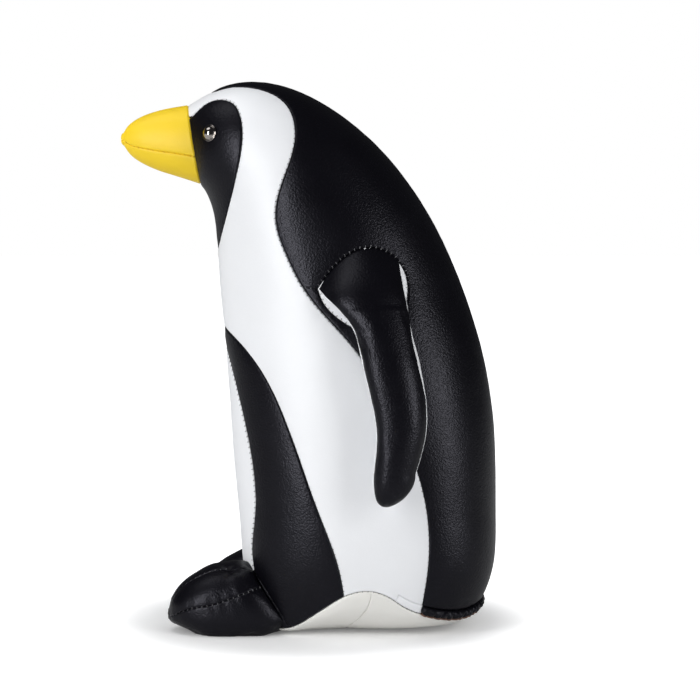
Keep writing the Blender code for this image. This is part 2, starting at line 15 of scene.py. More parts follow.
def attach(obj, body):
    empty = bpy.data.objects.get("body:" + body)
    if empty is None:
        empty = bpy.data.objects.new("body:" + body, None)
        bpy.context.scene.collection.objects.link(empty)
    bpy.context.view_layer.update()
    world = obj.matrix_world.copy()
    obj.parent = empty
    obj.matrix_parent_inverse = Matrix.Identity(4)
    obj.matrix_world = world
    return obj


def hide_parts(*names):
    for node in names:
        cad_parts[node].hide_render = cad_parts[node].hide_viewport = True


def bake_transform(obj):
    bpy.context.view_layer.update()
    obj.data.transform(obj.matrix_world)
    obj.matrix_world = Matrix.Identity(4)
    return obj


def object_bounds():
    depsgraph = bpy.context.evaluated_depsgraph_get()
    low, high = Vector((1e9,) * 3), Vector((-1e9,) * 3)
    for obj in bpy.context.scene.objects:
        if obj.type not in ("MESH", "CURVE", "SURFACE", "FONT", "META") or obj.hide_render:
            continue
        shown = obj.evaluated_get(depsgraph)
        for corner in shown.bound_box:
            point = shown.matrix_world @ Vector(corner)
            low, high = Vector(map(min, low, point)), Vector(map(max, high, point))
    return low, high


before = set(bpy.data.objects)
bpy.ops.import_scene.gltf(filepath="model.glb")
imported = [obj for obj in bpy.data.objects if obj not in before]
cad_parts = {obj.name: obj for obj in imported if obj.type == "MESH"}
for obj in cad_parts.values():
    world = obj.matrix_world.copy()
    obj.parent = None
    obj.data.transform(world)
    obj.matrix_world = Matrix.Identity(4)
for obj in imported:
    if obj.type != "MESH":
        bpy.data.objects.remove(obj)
cad_low, cad_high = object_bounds()
MM = 0.001
print("CAD box, mm:", [round(1000 * v) for v in (*cad_low, *cad_high)])

# %% [markdown]
# ## Camera, lights and floor
# The penguin is seen from its own left, with a long lens a little above its middle. A camera close by would
# widen the near foot too much. The light comes from large soft panels of two kinds. Some light matte surfaces
# only, and set how bright the white leather is. The others show only as sheen: black leather shows mostly what
# it reflects, so their sizes and places matter more than their strength. The room itself does the same, with a
# soft fill on matte surfaces, hardly anything in reflections, and plain white behind the penguin.

# %% Set up the camera
CAMERA_DISTANCE = 1.0
CAMERA_TILT = math.radians(5)
LENS = 127.0

middle = (cad_low + cad_high) / 2
look_at = Vector((0, middle.y + 0.0165, middle.z + 0.0016))
camera_data = bpy.data.cameras.new("camera")
camera_data.lens = LENS
camera = bpy.data.objects.new("camera", camera_data)
bpy.context.scene.collection.objects.link(camera)
camera.location = look_at + CAMERA_DISTANCE * Vector((math.cos(CAMERA_TILT), 0, math.sin(CAMERA_TILT)))
camera.rotation_euler = (look_at - camera.location).to_track_quat("-Z", "Y").to_euler()
bpy.context.scene.camera = camera
print("camera at", [round(v, 3) for v in camera.location])


# %% Light the studio
def soft_panel(name, place, size, power, aim=(0, 0, 0.11), sheen_only=False):
    """A large area light that faces the penguin. A sheen panel only shows as a streak on the leather."""
    data = bpy.data.lights.new(name, "AREA")
    data.shape = "RECTANGLE"
    data.size, data.size_y = size
    data.energy = power
    lamp = bpy.data.objects.new(name, data)
    bpy.context.scene.collection.objects.link(lamp)
    lamp.location = place
    lamp.visible_diffuse, lamp.visible_glossy = not sheen_only, sheen_only
    lamp.rotation_euler = (Vector(aim) - lamp.location).to_track_quat("-Z", "Y").to_euler()
    return lamp


soft_panel("front_panel", (0.78, -0.98, 0.50), (0.55, 1.2), 11.0)
soft_panel("rear_panel", (0.80, 0.95, 0.40), (0.35, 1.1), 6.0)
soft_panel("top_panel", (0.1, -0.4, 1.4), (0.8, 0.8), 4.5)
soft_panel("front_sheen", (0.98, -0.69, 0.22), (0.24, 1.0), 14, sheen_only=True)
soft_panel("rear_sheen", (0.52, 0.93, 0.12), (0.20, 0.8), 7, sheen_only=True)
soft_panel("top_sheen", (0.1, -0.5, 1.2), (0.7, 0.7), 3, sheen_only=True)

world = bpy.data.worlds.new("studio")
bpy.context.scene.world = world
world.use_nodes = True
nodes, links = world.node_tree.nodes, world.node_tree.links
fill_light = nodes["Background"]
fill_light.inputs["Color"].default_value = (0.95, 0.97, 1.0, 1)
fill_light.inputs["Strength"].default_value = 0.28
dim_room = nodes.new("ShaderNodeBackground")
dim_room.inputs["Color"].default_value = (0.9, 0.92, 1.0, 1)
dim_room.inputs["Strength"].default_value = 0.04
backdrop = nodes.new("ShaderNodeBackground")
backdrop.inputs["Color"].default_value = (1, 1, 1, 1)
backdrop.inputs["Strength"].default_value = 1.0
ray_kind = nodes.new("ShaderNodeLightPath")
choose, matt_or_glossy = nodes.new("ShaderNodeMixShader"), nodes.new("ShaderNodeMixShader")
links.new(ray_kind.outputs["Is Diffuse Ray"], matt_or_glossy.inputs["Fac"])
links.new(dim_room.outputs["Background"], matt_or_glossy.inputs[1])
links.new(fill_light.outputs["Background"], matt_or_glossy.inputs[2])
links.new(ray_kind.outputs["Is Camera Ray"], choose.inputs["Fac"])
links.new(matt_or_glossy.outputs["Shader"], choose.inputs[1])
links.new(backdrop.outputs["Background"], choose.inputs[2])
links.new(choose.outputs["Shader"], nodes["World Output"].inputs["Surface"])
bpy.context.scene.view_settings.view_transform = "Standard"

# %% Lay the floor
floor_mesh = bpy.data.meshes.new("floor")
FLOOR, FLOOR_FRONT = 3.0, 0.4
floor_mesh.from_pydata([(-FLOOR, -FLOOR, 0), (FLOOR_FRONT, -FLOOR, 0),
                        (FLOOR_FRONT, FLOOR, 0), (-FLOOR, FLOOR, 0)], [], [(0, 1, 2, 3)])
floor = bpy.data.objects.new("floor", floor_mesh)
bpy.context.scene.collection.objects.link(floor)


# %% [markdown]
# ## Finishes
# The leather is a thin polyurethane skin pressed with a fine pebble grain. On black it shows only where light
# glances off it; on white it is almost flat. Each finish is built from noise in the object's own space, so no
# unwrapping is needed. The grain is a Voronoi pattern under 1 mm, with a broader noise that makes the gloss
# uneven.

# %% Start a finish
def new_finish(name, colour, roughness, metallic=0.0):
    """A Principled material, with its nodes and links ready to extend."""
    made = bpy.data.materials.new(name)
    made.use_nodes = True
    shader = made.node_tree.nodes["Principled BSDF"]
    shader.inputs["Base Color"].default_value = (*colour, 1)
    shader.inputs["Roughness"].default_value = roughness
    shader.inputs["Metallic"].default_value = metallic
    return made, made.node_tree.nodes, made.node_tree.links, shader


def add_node(nodes, kind, **settings):
    """A shader node with its properties or its input sockets set by name."""
    node = nodes.new(kind)
    for name, value in settings.items():
        if hasattr(node, name):
            setattr(node, name, value)
        else:
            node.inputs[name.replace("_", " ")].default_value = value
    return node


# %% Mix the leathers
GRAIN_SIZE = 0.6 * MM


def leather(name, dark, light, roughness, grain_depth, gloss_swing=0.05, specular=0.5, sheen=(1, 1, 1)):
    """Faux leather: pebble grain, faint tone changes and uneven gloss."""
    made, nodes, links, shader = new_finish(name, light, roughness)
    shader.inputs["Specular IOR Level"].default_value = specular
    shader.inputs["Specular Tint"].default_value = (*sheen, 1)
    place = add_node(nodes, "ShaderNodeTexCoord")
    tone = add_node(nodes, "ShaderNodeTexNoise", Scale=55.0, Detail=3.0)
    tone_colour = add_node(nodes, "ShaderNodeMix", data_type="RGBA")
    tone_colour.inputs["A"].default_value = (*dark, 1)
    tone_colour.inputs["B"].default_value = (*light, 1)
    gloss = add_node(nodes, "ShaderNodeMapRange")
    gloss.inputs["To Min"].default_value = roughness - gloss_swing
    gloss.inputs["To Max"].default_value = roughness + gloss_swing
    pebbles = add_node(nodes, "ShaderNodeTexVoronoi", feature="SMOOTH_F1", Scale=1 / GRAIN_SIZE)
    creases = add_node(nodes, "ShaderNodeTexNoise", Scale=0.6 / GRAIN_SIZE, Detail=4.0)
    relief = add_node(nodes, "ShaderNodeMath", operation="ADD")
    bump = add_node(nodes, "ShaderNodeBump", Distance=grain_depth, Strength=1.0)
    for texture in (tone, pebbles, creases):
        links.new(place.outputs["Object"], texture.inputs["Vector"])
    links.new(tone.outputs["Fac"], tone_colour.inputs["Factor"])
    links.new(tone.outputs["Fac"], gloss.inputs["Value"])
    links.new(tone_colour.outputs["Result"], shader.inputs["Base Color"])
    links.new(gloss.outputs["Result"], shader.inputs["Roughness"])
    links.new(pebbles.outputs["Distance"], relief.inputs[0])
    links.new(creases.outputs["Fac"], relief.inputs[1])
    links.new(relief.outputs["Value"], bump.inputs["Height"])
    links.new(bump.outputs["Normal"], shader.inputs["Normal"])
    return made


BLACK = leather("black_leather", (0.0022, 0.0020, 0.0034), (0.0038, 0.0036, 0.0056), 0.34, 0.10 * MM,
                specular=0.17, sheen=(0.88, 0.88, 1.0))
WHITE = leather("white_leather", (0.80, 0.81, 0.83), (0.84, 0.85, 0.87), 0.48, 0.02 * MM)
# The base's white leather, painted darker and warmer as shade for the underside that faces the table.
BASE_WHITE_PAINTED_SHADE = leather("cream_leather", (0.74, 0.73, 0.69), (0.79, 0.78, 0.75), 0.5, 0.02 * MM)
YELLOW = leather("yellow_leather", (0.90, 0.61, 0.012), (0.94, 0.67, 0.022), 0.5, 0.03 * MM, specular=0.3)


# %% Mix the thread and the metal
def plain_finish(name, colour, roughness, bump_scale, bump_depth, metallic=0.0):
    """A finish with one fine noise in its relief."""
    made, nodes, links, shader = new_finish(name, colour, roughness, metallic)
    place = add_node(nodes, "ShaderNodeTexCoord")
    noise = add_node(nodes, "ShaderNodeTexNoise", Scale=bump_scale, Detail=3.0)
    bump = add_node(nodes, "ShaderNodeBump", Distance=bump_depth, Strength=1.0)
    links.new(place.outputs["Object"], noise.inputs["Vector"])
    links.new(noise.outputs["Fac"], bump.inputs["Height"])
    links.new(bump.outputs["Normal"], shader.inputs["Normal"])
    return made


BLACK_THREAD = plain_finish("black_thread", (0.012, 0.012, 0.014), 0.6, 4000, 0.03 * MM)
GREY_THREAD = plain_finish("grey_thread", (0.16, 0.16, 0.17), 0.6, 4000, 0.03 * MM)
WHITE_THREAD = plain_finish("white_thread", (0.55, 0.55, 0.54), 0.6, 4000, 0.03 * MM)
GOLD_THREAD = plain_finish("gold_thread", (0.62, 0.36, 0.02), 0.6, 4000, 0.03 * MM)
RAW_EDGE = plain_finish("raw_edge", (0.16, 0.085, 0.06), 0.9, 3000, 0.05 * MM)
GUNMETAL = plain_finish("gunmetal", (0.36, 0.33, 0.31), 0.10, 300, 0.001 * MM, metallic=1.0)


# %% Mix the floor
def paper_with_painted_glow(near, far, near_glow, far_glow):
    """White paper with a painted glow that only the camera sees: dim beside the penguin, it burns out to plain
    white further away; it lights nothing itself.
    """
    made, nodes, links, shader = new_finish("white_floor", (0.9, 0.9, 0.9), 0.9)
    place = add_node(nodes, "ShaderNodeTexCoord")
    reach = add_node(nodes, "ShaderNodeVectorMath", operation="LENGTH")
    fade = add_node(nodes, "ShaderNodeMapRange", interpolation_type="SMOOTHSTEP")
    for name, value in (("From Min", near), ("From Max", far), ("To Min", near_glow), ("To Max", far_glow)):
        fade.inputs[name].default_value = value
    path = add_node(nodes, "ShaderNodeLightPath")
    seen = add_node(nodes, "ShaderNodeMath", operation="MULTIPLY")
    # The painted glow: emission on the floor for camera rays only, weaker near the penguin and rising further
    # out.
    shader.inputs["Emission Color"].default_value = (1, 1, 1, 1)
    links.new(place.outputs["Object"], reach.inputs[0])
    links.new(reach.outputs["Value"], fade.inputs["Value"])
    links.new(fade.outputs["Result"], seen.inputs[0])
    links.new(path.outputs["Is Camera Ray"], seen.inputs[1])
    links.new(seen.outputs["Value"], shader.inputs["Emission Strength"])
    return made


floor.data.materials.append(paper_with_painted_glow(0.055, 0.11, 0.12, 1.0))
print("finishes:", [m.name for m in bpy.data.materials][-12:])

# %% [markdown]
# ## The body's surface
# The stuffed body is one smooth form. Slices fan out from the base and tip forward until the last one is the
# ring where the beak is sewn on, so no slice has to close to a point. Each slice is an oval between a front
# point and a back point, squarer low down where the legs fill it. A spline through the slices makes a surface
# that any height and angle can be read from.

# %% Describe the body
# Front point (y, z), back point (y, z), half width, and how square the slice is (2 is an ellipse), in mm.
BODY_SLICES = (
    (-24.1, -2.0, 66.6, 3.2, 35.0, 2.7),
    (-26.9, 26.7, 75.1, 25.1, 42.0, 2.6),
    (-28.7, 49.0, 75.8, 46.0, 43.2, 2.45),
    (-30.6, 70.5, 75.7, 67.2, 43.5, 2.3),
    (-33.6, 113.0, 68.8, 115.8, 41.5, 2.1),
    (-35.4, 133.2, 61.0, 138.9, 39.0, 2.0),
    (-36.8, 152.5, 48.0, 166.5, 36.5, 2.0),
    (-38.3, 166.1, 25.7, 195.2, 33.0, 2.0),
    (-41.7, 175.4, -7.9, 217.1, 27.5, 2.0),
    (-42.9, 177.0, -24.1, 219.5, 24.0, 2.0),
    (-43.4, 177.8, -38.3, 215.9, 19.0, 2.0),
    (-43.5, 178.2, -48.4, 209.4, 13.0, 2.0),
)
BASE_SEAM = ((-40, 4), (-20, 3.2), (-7.3, 3.2), (0, 7.6), (7, 12.6), (14.2, 17.2), (24, 19.4), (32.4, 16.6),
             (38, 12.6), (44.3, 9.6), (55, 6.6), (64, 6.2), (72, 8.5), (90, 14))


def spline(points):
    """A natural cubic spline through the points, as a function of 0 to 1 along them."""
    points = np.array(points, float)
    along = np.concatenate([[0.0], np.cumsum(np.linalg.norm(np.diff(points, axis=0), axis=1))])
    along /= along[-1]
    gaps = np.diff(along)
    matrix = np.eye(len(points))
    target = np.zeros_like(points)
    for i in range(1, len(points) - 1):
        matrix[i, i - 1 : i + 2] = gaps[i - 1], 2 * (gaps[i - 1] + gaps[i]), gaps[i]
        target[i] = 6 * ((points[i + 1] - points[i]) / gaps[i] - (points[i] - points[i - 1]) / gaps[i - 1])
    bends = np.linalg.solve(matrix, target)

    def at(t):
        t = np.clip(np.asarray(t, float), 0, 1)
        i = np.clip(np.searchsorted(along, t, side="right") - 1, 0, len(gaps) - 1)
        h = gaps[i][..., None]
        a = (along[i + 1] - t)[..., None] / h
        b = 1 - a
        curve = ((a**3 - a) * bends[i] + (b**3 - b) * bends[i + 1]) * h**2 / 6
        return a * points[i] + b * points[i + 1] + curve

    return at


def smooth(points, count=60):
    """A line of count points along a spline through the given ones."""
    return spline(points)(np.linspace(0, 1, count))


# %% Read points off the body
body_slice = spline(BODY_SLICES)
base_line = smooth(BASE_SEAM, 120)


def power(value, exponent):
    return np.sign(value) * np.abs(value) ** exponent


def body_point(at):
    """Points of the body, in metres, at (height, angle) pairs: 0 to 1 up, 0 to pi round the left side."""
    front_y, front_z, back_y, back_z, half_width, square = body_slice(at[:, 0]).T
    forward = power(np.cos(at[:, 1]), 2 / square)
    y = (front_y + back_y) / 2 + (front_y - back_y) / 2 * forward
    z = (front_z + back_z) / 2 + (front_z - back_z) / 2 * forward
    return np.stack([half_width * power(np.sin(at[:, 1]), 2 / square), y, z], 1) * MM


def slopes(surface, at, step=1e-3):
    """How the surface runs along each of its two directions."""
    shifts = (np.array([step, 0]), np.array([0, step]))
    return [(surface(at + shift) - surface(at - shift)) / (2 * step) for shift in shifts]


def normals_of(surface, at):
    up, around = slopes(surface, at)
    normal = np.cross(around, up)
    return normal / np.maximum(np.linalg.norm(normal, axis=1, keepdims=True), 1e-12)


# A grid of readings, from which any side-view point is traced back to its height and angle.
guess_t, guess_angle = np.meshgrid(np.linspace(0, 1, 260), np.linspace(0, math.pi, 160), indexing="ij")
guesses = np.stack([guess_t.ravel(), guess_angle.ravel()], 1)
guess_places = body_point(guesses)[:, 1:]


def trace(side_view):
    """The body's (height, angle) under each side-view point (y, z) in millimetres."""
    wanted = np.array(side_view, float) * MM
    near = [np.argmin(((guess_places - place) ** 2).sum(axis=1)) for place in wanted]
    at = guesses[near].copy()
    for _ in range(6):
        miss = wanted - body_point(at)[:, 1:]
        inside = np.clip(at, 0.001, [0.999, math.pi - 0.001])
        up, around = (slope[:, 1:] for slope in slopes(body_point, inside))
        uu, aa, ua = (up**2).sum(1) + 1e-9, (around**2).sum(1) + 1e-9, (up * around).sum(1)
        mu, ma = (up * miss).sum(1), (around * miss).sum(1)
        spread = uu * aa - ua**2 + 1e-12
        at[:, 0] += np.clip((aa * mu - ua * ma) / spread, -0.02, 0.02)
        at[:, 1] += np.clip((uu * ma - ua * mu) / spread, -0.05, 0.05)
        at = np.clip(at, 0, [1, math.pi])
    return at


test = trace([(20.0, 100.0)])
print("body point at y 20, z 100:", (body_point(test) * 1000).round(2), "mm")

# %% [markdown]
# ## Seams
# The panels are cut so that their seams draw the penguin's markings. A seam is drawn here on the side view, as
# a pattern cutter would chalk it on the stuffed form, and traced onto the body. Every traced seam is then a
# list of points about the same distance apart, which the panels on both of its sides share.

# %% Chalk the seams
CROWN_SEAM = ((-46, 214.5), (-40.5, 215.0), (-33, 217.0), (-23.6, 217.3), (-14.8, 215.0), (-9.0, 211.2),
              (-4.7, 199), (-8.9, 182.3), (-12.7, 166), (-8, 150), (-2.1, 138.8), (19.2, 113.9), (33, 90.4),
              (42.9, 67.3), (47.3, 47.5), (47.6, 30), (45.2, 12), (44, 0))
THROAT_Z, FACE_TOP_Z, LEG_TOP_Z, BELLY_TOP_Z = 152.0, 205.4, 122.0, 114.0
FACE_SEAM = ((-46.5, FACE_TOP_Z), (-40, 211.4), (-34.9, 212.5), (-30, 211.0), (-26.6, 205.2), (-25.7, 197),
             (-27.3, 186), (-30.4, 174), (-33.5, 163.5), (-36.8, THROAT_Z))
LEG_BACK_SEAM = ((-36, LEG_TOP_Z), (-28.1, 115.9), (-20.1, 107.2), (-8.3, 84.6), (3.8, 51.6), (12.2, 28),
                 (14.2, 17.2))
ANKLE_TOP, ANKLE_BOTTOM = (-22.1, 25.0), (-7.3, 3.2)
LEG_FRONT_SEAM = ((-34, BELLY_TOP_Z), (-30.9, 104), (-25.2, 82), (-22, 64), (-21.4, 50), (-22.8, 32),
                  ANKLE_TOP)
ARMHOLE = ((3.9, 138.2), (10.6, 146.9), (22.3, 154), (32.8, 151.3), (38.2, 144.4), (39.2, 134.4),
           (35.4, 125.5), (24, 121.5), (13, 126), (6, 133), (3.9, 138.2))
SHOULDER_DART = ((-2.1, 138.8), (3.9, 138.2))
HEM_HEIGHT = 3.6
FLAP_FRONT_Y, FLAP_END_WIDTH = 34.5, 1.2
STEP = 0.7 * MM


def base_height(y):
    return np.interp(y, base_line[:, 0], base_line[:, 1])


def base_crossing(angles):
    """How far up each angle's line the base seam crosses it."""
    low, high = np.zeros_like(angles), np.full_like(angles, 0.4)
    for _ in range(40):
        half_way = (low + high) / 2
        point = body_point(np.stack([half_way, angles], 1)) / MM
        under = point[:, 2] < base_height(point[:, 1])
        low, high = np.where(under, half_way, low), np.where(under, high, half_way)
    return (low + high) / 2


def evenly(surface, at, step=STEP):
    """The same line, with its points a step apart on the surface."""
    places = surface(at)
    along = np.concatenate([[0], np.cumsum(np.linalg.norm(np.diff(places, axis=0), axis=1))])
    stops = np.linspace(0, along[-1], max(2, round(along[-1] / step) + 1))
    return np.stack([np.interp(stops, along, at[:, i]) for i in (0, 1)], 1)


# %% Trace them onto the body
def chalk(points, count=400):
    """A smooth side-view line through the chalk marks, down to the base seam."""
    line = smooth(points, count)
    return line[line[:, 1] > base_height(line[:, 0]) + 0.02]


def sewn(line, start=None, end=None):
    """A side-view line as (height, angle) pairs, with its ends carried to the front, back, beak or base."""
    at = trace(line)
    missed = np.linalg.norm(body_point(at)[:, 1:] - np.array(line) * MM, axis=1)
    at = at[missed < 0.2 * MM]
    ends = []
    for t, angle, edge in ((*at[0], start), (*at[-1], end)):
        if edge == "base":
            t = base_crossing(np.array([angle]))[0]
        snapped = {"front": (t, 0), "back": (t, math.pi), "beak": (1, angle), "base": (t, angle)}
        ends.append([snapped[edge]] if edge else [])
    return evenly(body_point, np.array([*ends[0], *at, *ends[1]]))


crown, face = chalk(CROWN_SEAM), smooth(FACE_SEAM, 200)
leg_back, leg_front = chalk(LEG_BACK_SEAM), smooth(LEG_FRONT_SEAM, 200)
ankle = np.linspace(ANKLE_TOP, ANKLE_BOTTOM, 40)
armhole = smooth(ARMHOLE, 240)
hem_y = np.linspace(FLAP_FRONT_Y + FLAP_END_WIDTH, 80, 200)
hem_top = np.stack([hem_y, base_height(hem_y) + HEM_HEIGHT], 1)
flap_end = np.stack([np.linspace(FLAP_FRONT_Y, FLAP_FRONT_Y + FLAP_END_WIDTH, 12),
                     np.linspace(base_height(FLAP_FRONT_Y), hem_top[0, 1], 12)], 1)
dart = np.linspace(*SHOULDER_DART, 20)

half_turn = np.linspace(0, math.pi, 900)
seam_t = base_crossing(half_turn)
front_stop = trace([(-33.7, BELLY_TOP_Z)])[0, 0]
full_height = np.linspace(0, 1, 600)
SEAMS = {
    "crown": sewn(crown, "back", "base"),
    "face": sewn(face, "beak", "front"),
    "leg_back": sewn(leg_back, "front", "base"),
    "leg_front": sewn(leg_front, "front"),
    "ankle": sewn(ankle, None, "base"),
    "armhole": sewn(armhole),
    "hem": sewn(hem_top, None, "back"),
    "flap_end": sewn(flap_end, "base"),
    "dart": sewn(dart),
    "base": evenly(body_point, np.stack([seam_t, half_turn], 1)),
    "beak_root": evenly(body_point, np.stack([np.ones(900), half_turn], 1)),
    "front": evenly(body_point, np.stack([front_stop + (1 - front_stop) * full_height, 0 * full_height], 1)),
    "back": evenly(body_point, np.stack([seam_t[-1] + (1 - seam_t[-1]) * full_height,
                                         0 * full_height + math.pi], 1)),
}
belly_t = seam_t[0] + (front_stop - seam_t[0]) * full_height
belly_middle = evenly(body_point, np.stack([belly_t, 0 * full_height], 1), 2 * STEP)
print("seam points:", {name: len(line) for name, line in SEAMS.items()})

# %% [markdown]
# ## Meshing the panels
# A sewn edge rolls into its seam within a millimetre, while the middle of a panel is nearly flat. So the mesh
# needs rows of points close beside each seam and few elsewhere. The points are laid on the body, joined by a
# constrained triangulation that keeps every seam as an edge, and each triangle is then given to the panel that
# its middle falls in. Both sides of a seam share its points, so no gap can open.

# %% Scatter points over the surface
# How far each row lies from the seam and how far apart its points are kept, in mm.
ROWS_BESIDE_A_SEAM = ((0.16, 0.08), (0.36, 0.13), (0.62, 0.18), (0.95, 0.22), (1.5, 0.35), (2.4, 0.6),
                      (3.6, 0.8))
FIELD_SPACING = 1.9


def slide(surface, at, move):
    """Points moved along the surface by about the given vectors."""
    target = surface(at) + move
    for _ in range(3):
        up, around = slopes(surface, at)
        miss = target - surface(at)
        uu, aa, ua = (up**2).sum(1) + 1e-12, (around**2).sum(1) + 1e-12, (up * around).sum(1)
        mu, ma = (up * miss).sum(1), (around * miss).sum(1)
        spread = np.maximum(uu * aa - ua**2, 1e-16)
        at = at + np.stack([(aa * mu - ua * ma) / spread, (uu * ma - ua * mu) / spread], 1).clip(-0.1, 0.1)
    return at


def beside(surface, at):
    """The direction across a seam, in the surface, at each of its points."""
    inside = np.clip(at, [0.002, 0.002], [0.998, math.pi - 0.002])
    along = np.gradient(surface(at), axis=0)
    across = np.cross(normals_of(surface, inside), along)
    return across / np.maximum(np.linalg.norm(across, axis=1, keepdims=True), 1e-12)


class Crowd:
    """Points that are kept only where there is room for them, or always if they need none."""

    def __init__(self, cell):
        self.cell, self.cells, self.kept, self.places = cell, {}, [], []

    def add(self, ats, places, room):
        for at, place in zip(ats, places):
            key = tuple((place // self.cell).astype(int))
            near = [q for dx in (-1, 0, 1) for dy in (-1, 0, 1) for dz in (-1, 0, 1)
                    for q in self.cells.get((key[0] + dx, key[1] + dy, key[2] + dz), ())]
            if not near or not room or (((np.array(near) - place) ** 2).sum(1) > room**2).all():
                self.cells.setdefault(key, []).append(place)
                self.kept.append(at)


def distance_to(line, points):
    """Each point's distance to a line of points, and how far along the line its nearest point is."""
    start, run = line[:-1], np.diff(line, axis=0)
    length = np.linalg.norm(run, axis=1)
    before = np.concatenate([[0], np.cumsum(length)[:-1]])
    nearest, along = np.full(len(points), np.inf), np.zeros(len(points))
    for first in range(0, len(points), 2000):
        some = points[first : first + 2000, None, :] - start
        share = ((some * run).sum(2) / np.maximum(length**2, 1e-18)).clip(0, 1)
        gap = np.linalg.norm(some - share[..., None] * run, axis=2)
        best = gap.argmin(1)
        row = np.arange(len(best))
        nearest[first : first + 2000] = gap[row, best]
        along[first : first + 2000] = before[best] + share[row, best] * length[best]
    return nearest, along


# %% Triangulate the left half of the body
DOMAIN = np.array([210.0, 40.0])
seam_places = {name: body_point(line) for name, line in SEAMS.items()}
everywhere = np.concatenate(list(seam_places.values()))
crowd = Crowd(1.6 * MM)
edges, count = [], 0
for line in (*SEAMS.values(), belly_middle):
    crowd.add(line, body_point(line), 0)
    edges += [(count + i, count + i + 1) for i in range(len(line) - 1)]
    count += len(line)
for reach, room in ROWS_BESIDE_A_SEAM:
    for name, line in SEAMS.items():
        for side in (1, -1):
            at = slide(body_point, line, side * reach * MM * beside(body_point, line))
            bottom = np.interp(at[:, 1], half_turn, seam_t)
            at = at[(at[:, 0] > bottom) & (at[:, 0] < 1) & (at[:, 1] > 0) & (at[:, 1] < math.pi)]
            place = body_point(at)
            clear = np.array([((everywhere - p) ** 2).sum(1).min() for p in place]) > (0.86 * reach * MM) ** 2
            crowd.add(at[clear], place[clear], room * MM)
field_t, field_angle = np.meshgrid(np.linspace(0, 1, 150), np.linspace(0, math.pi, 90), indexing="ij")
field = np.stack([field_t.ravel(), field_angle.ravel()], 1)
field = field[field[:, 0] > np.interp(field[:, 1], half_turn, seam_t)]
field_place = body_point(field)
clear = np.array([((everywhere - p) ** 2).sum(1).min() for p in field_place]) > (4.4 * MM) ** 2
crowd.add(field[clear], field_place[clear], FIELD_SPACING * MM)
laid = delaunay_2d_cdt([Vector(p) for p in np.array(crowd.kept) * DOMAIN], edges, [], 0, 1e-7)
body_at = np.array([tuple(v) for v in laid[0]]) / DOMAIN
body_at = np.clip(body_at, 0, [1, math.pi])
triangles = np.array([f for f in laid[2] if len(f) == 3])[:, ::-1]
# A triangle with all its corners on one border of the surface lies outside it.
border = np.stack([body_at[:, 1] < 1e-5, body_at[:, 1] > math.pi - 1e-5, body_at[:, 0] > 1 - 1e-6])
triangles = triangles[~border[:, triangles].all(2).any(0)]
middles_at = body_at[triangles].mean(1)
triangles = triangles[middles_at[:, 0] > np.interp(middles_at[:, 1], half_turn, seam_t)]
print("points", len(crowd.kept), "->", len(body_at), "triangles", len(triangles))

# %% Even out the triangles
def even_out(points, normals, faces, fixed, passes=6):
    """Swap the shared edge of two triangles wherever that makes them more even, leaving the seams alone."""
    faces = [tuple(int(i) for i in f) for f in faces]
    for _ in range(passes):
        owner, swaps, touched = {}, 0, set()
        for index, face in enumerate(faces):
            for i in range(3):
                edge = frozenset((face[i], face[(i + 1) % 3]))
                owner.setdefault(edge, []).append((index, face[(i + 2) % 3]))
        pairs = [(edge, two) for edge, two in owner.items() if len(two) == 2 and edge not in fixed]
        ends = np.array([tuple(edge) for edge, _ in pairs])
        tips = np.array([(two[0][1], two[1][1]) for _, two in pairs])
        corners = []
        for side in (0, 1):
            a, b = points[ends[:, 0]] - points[tips[:, side]], points[ends[:, 1]] - points[tips[:, side]]
            corners.append(np.arctan2(np.linalg.norm(np.cross(a, b), axis=1), (a * b).sum(1)))
        gain = corners[0] + corners[1]
        for pair in np.argsort(-gain):
            if gain[pair] < math.pi + 0.02:
                break
            (f, tip), (g, other) = pairs[pair][1]
            if f in touched or g in touched:
                continue
            turned = []
            for face in [(end, tip, other) for end in pairs[pair][0]]:
                p, q, r = points[list(face)]
                facing = np.dot(np.cross(q - p, r - p), normals[face[0]])
                turned.append((face if facing > 0 else face[::-1], abs(facing), facing > 0))
            if turned[0][2] == turned[1][2] or min(turned[0][1], turned[1][1]) < 1e-12:
                continue
            faces[f], faces[g] = turned[0][0], turned[1][0]
            touched |= {f, g}
            swaps += 1
        print("  swapped", swaps)
        if not swaps:
            break
    return np.array(faces)


smooth_body = body_point(body_at)
body_normals = normals_of(body_point, np.clip(body_at, [0.001, 0], [0.999, math.pi]))
seam_points = {i for i, sources in enumerate(laid[3]) if sources and min(sources) < count}
seam_edges = {frozenset(e) for e in laid[1] if e[0] in seam_points and e[1] in seam_points}
triangles = even_out(smooth_body, body_normals, triangles, seam_edges)
print("evened triangles:", len(triangles))

# %% Give each triangle to its panel
FAR = 110.0
OVER_Z, UNDER_Z = 230, -9
# The leg's black leather runs on under the foot, where the two meet.
UNDER_FOOT = ((14.2, UNDER_Z), (-13.5, UNDER_Z), (-13.5, 3.2), (-23.8, 22.6))


def within(outline, points):
    """Which side-view points lie inside a closed outline."""
    outline = np.array(outline)
    after = np.roll(outline, -1, axis=0)
    y, z = points[:, :1], points[:, 1:]
    crosses = (outline[:, 1] > z) != (after[:, 1] > z)
    rise = np.where(outline[:, 1] == after[:, 1], 1e-9, after[:, 1] - outline[:, 1])
    slope = (after[:, 0] - outline[:, 0]) / rise
    return (crosses & (y < outline[:, 0] + slope * (z - outline[:, 1]))).sum(1) % 2 == 1


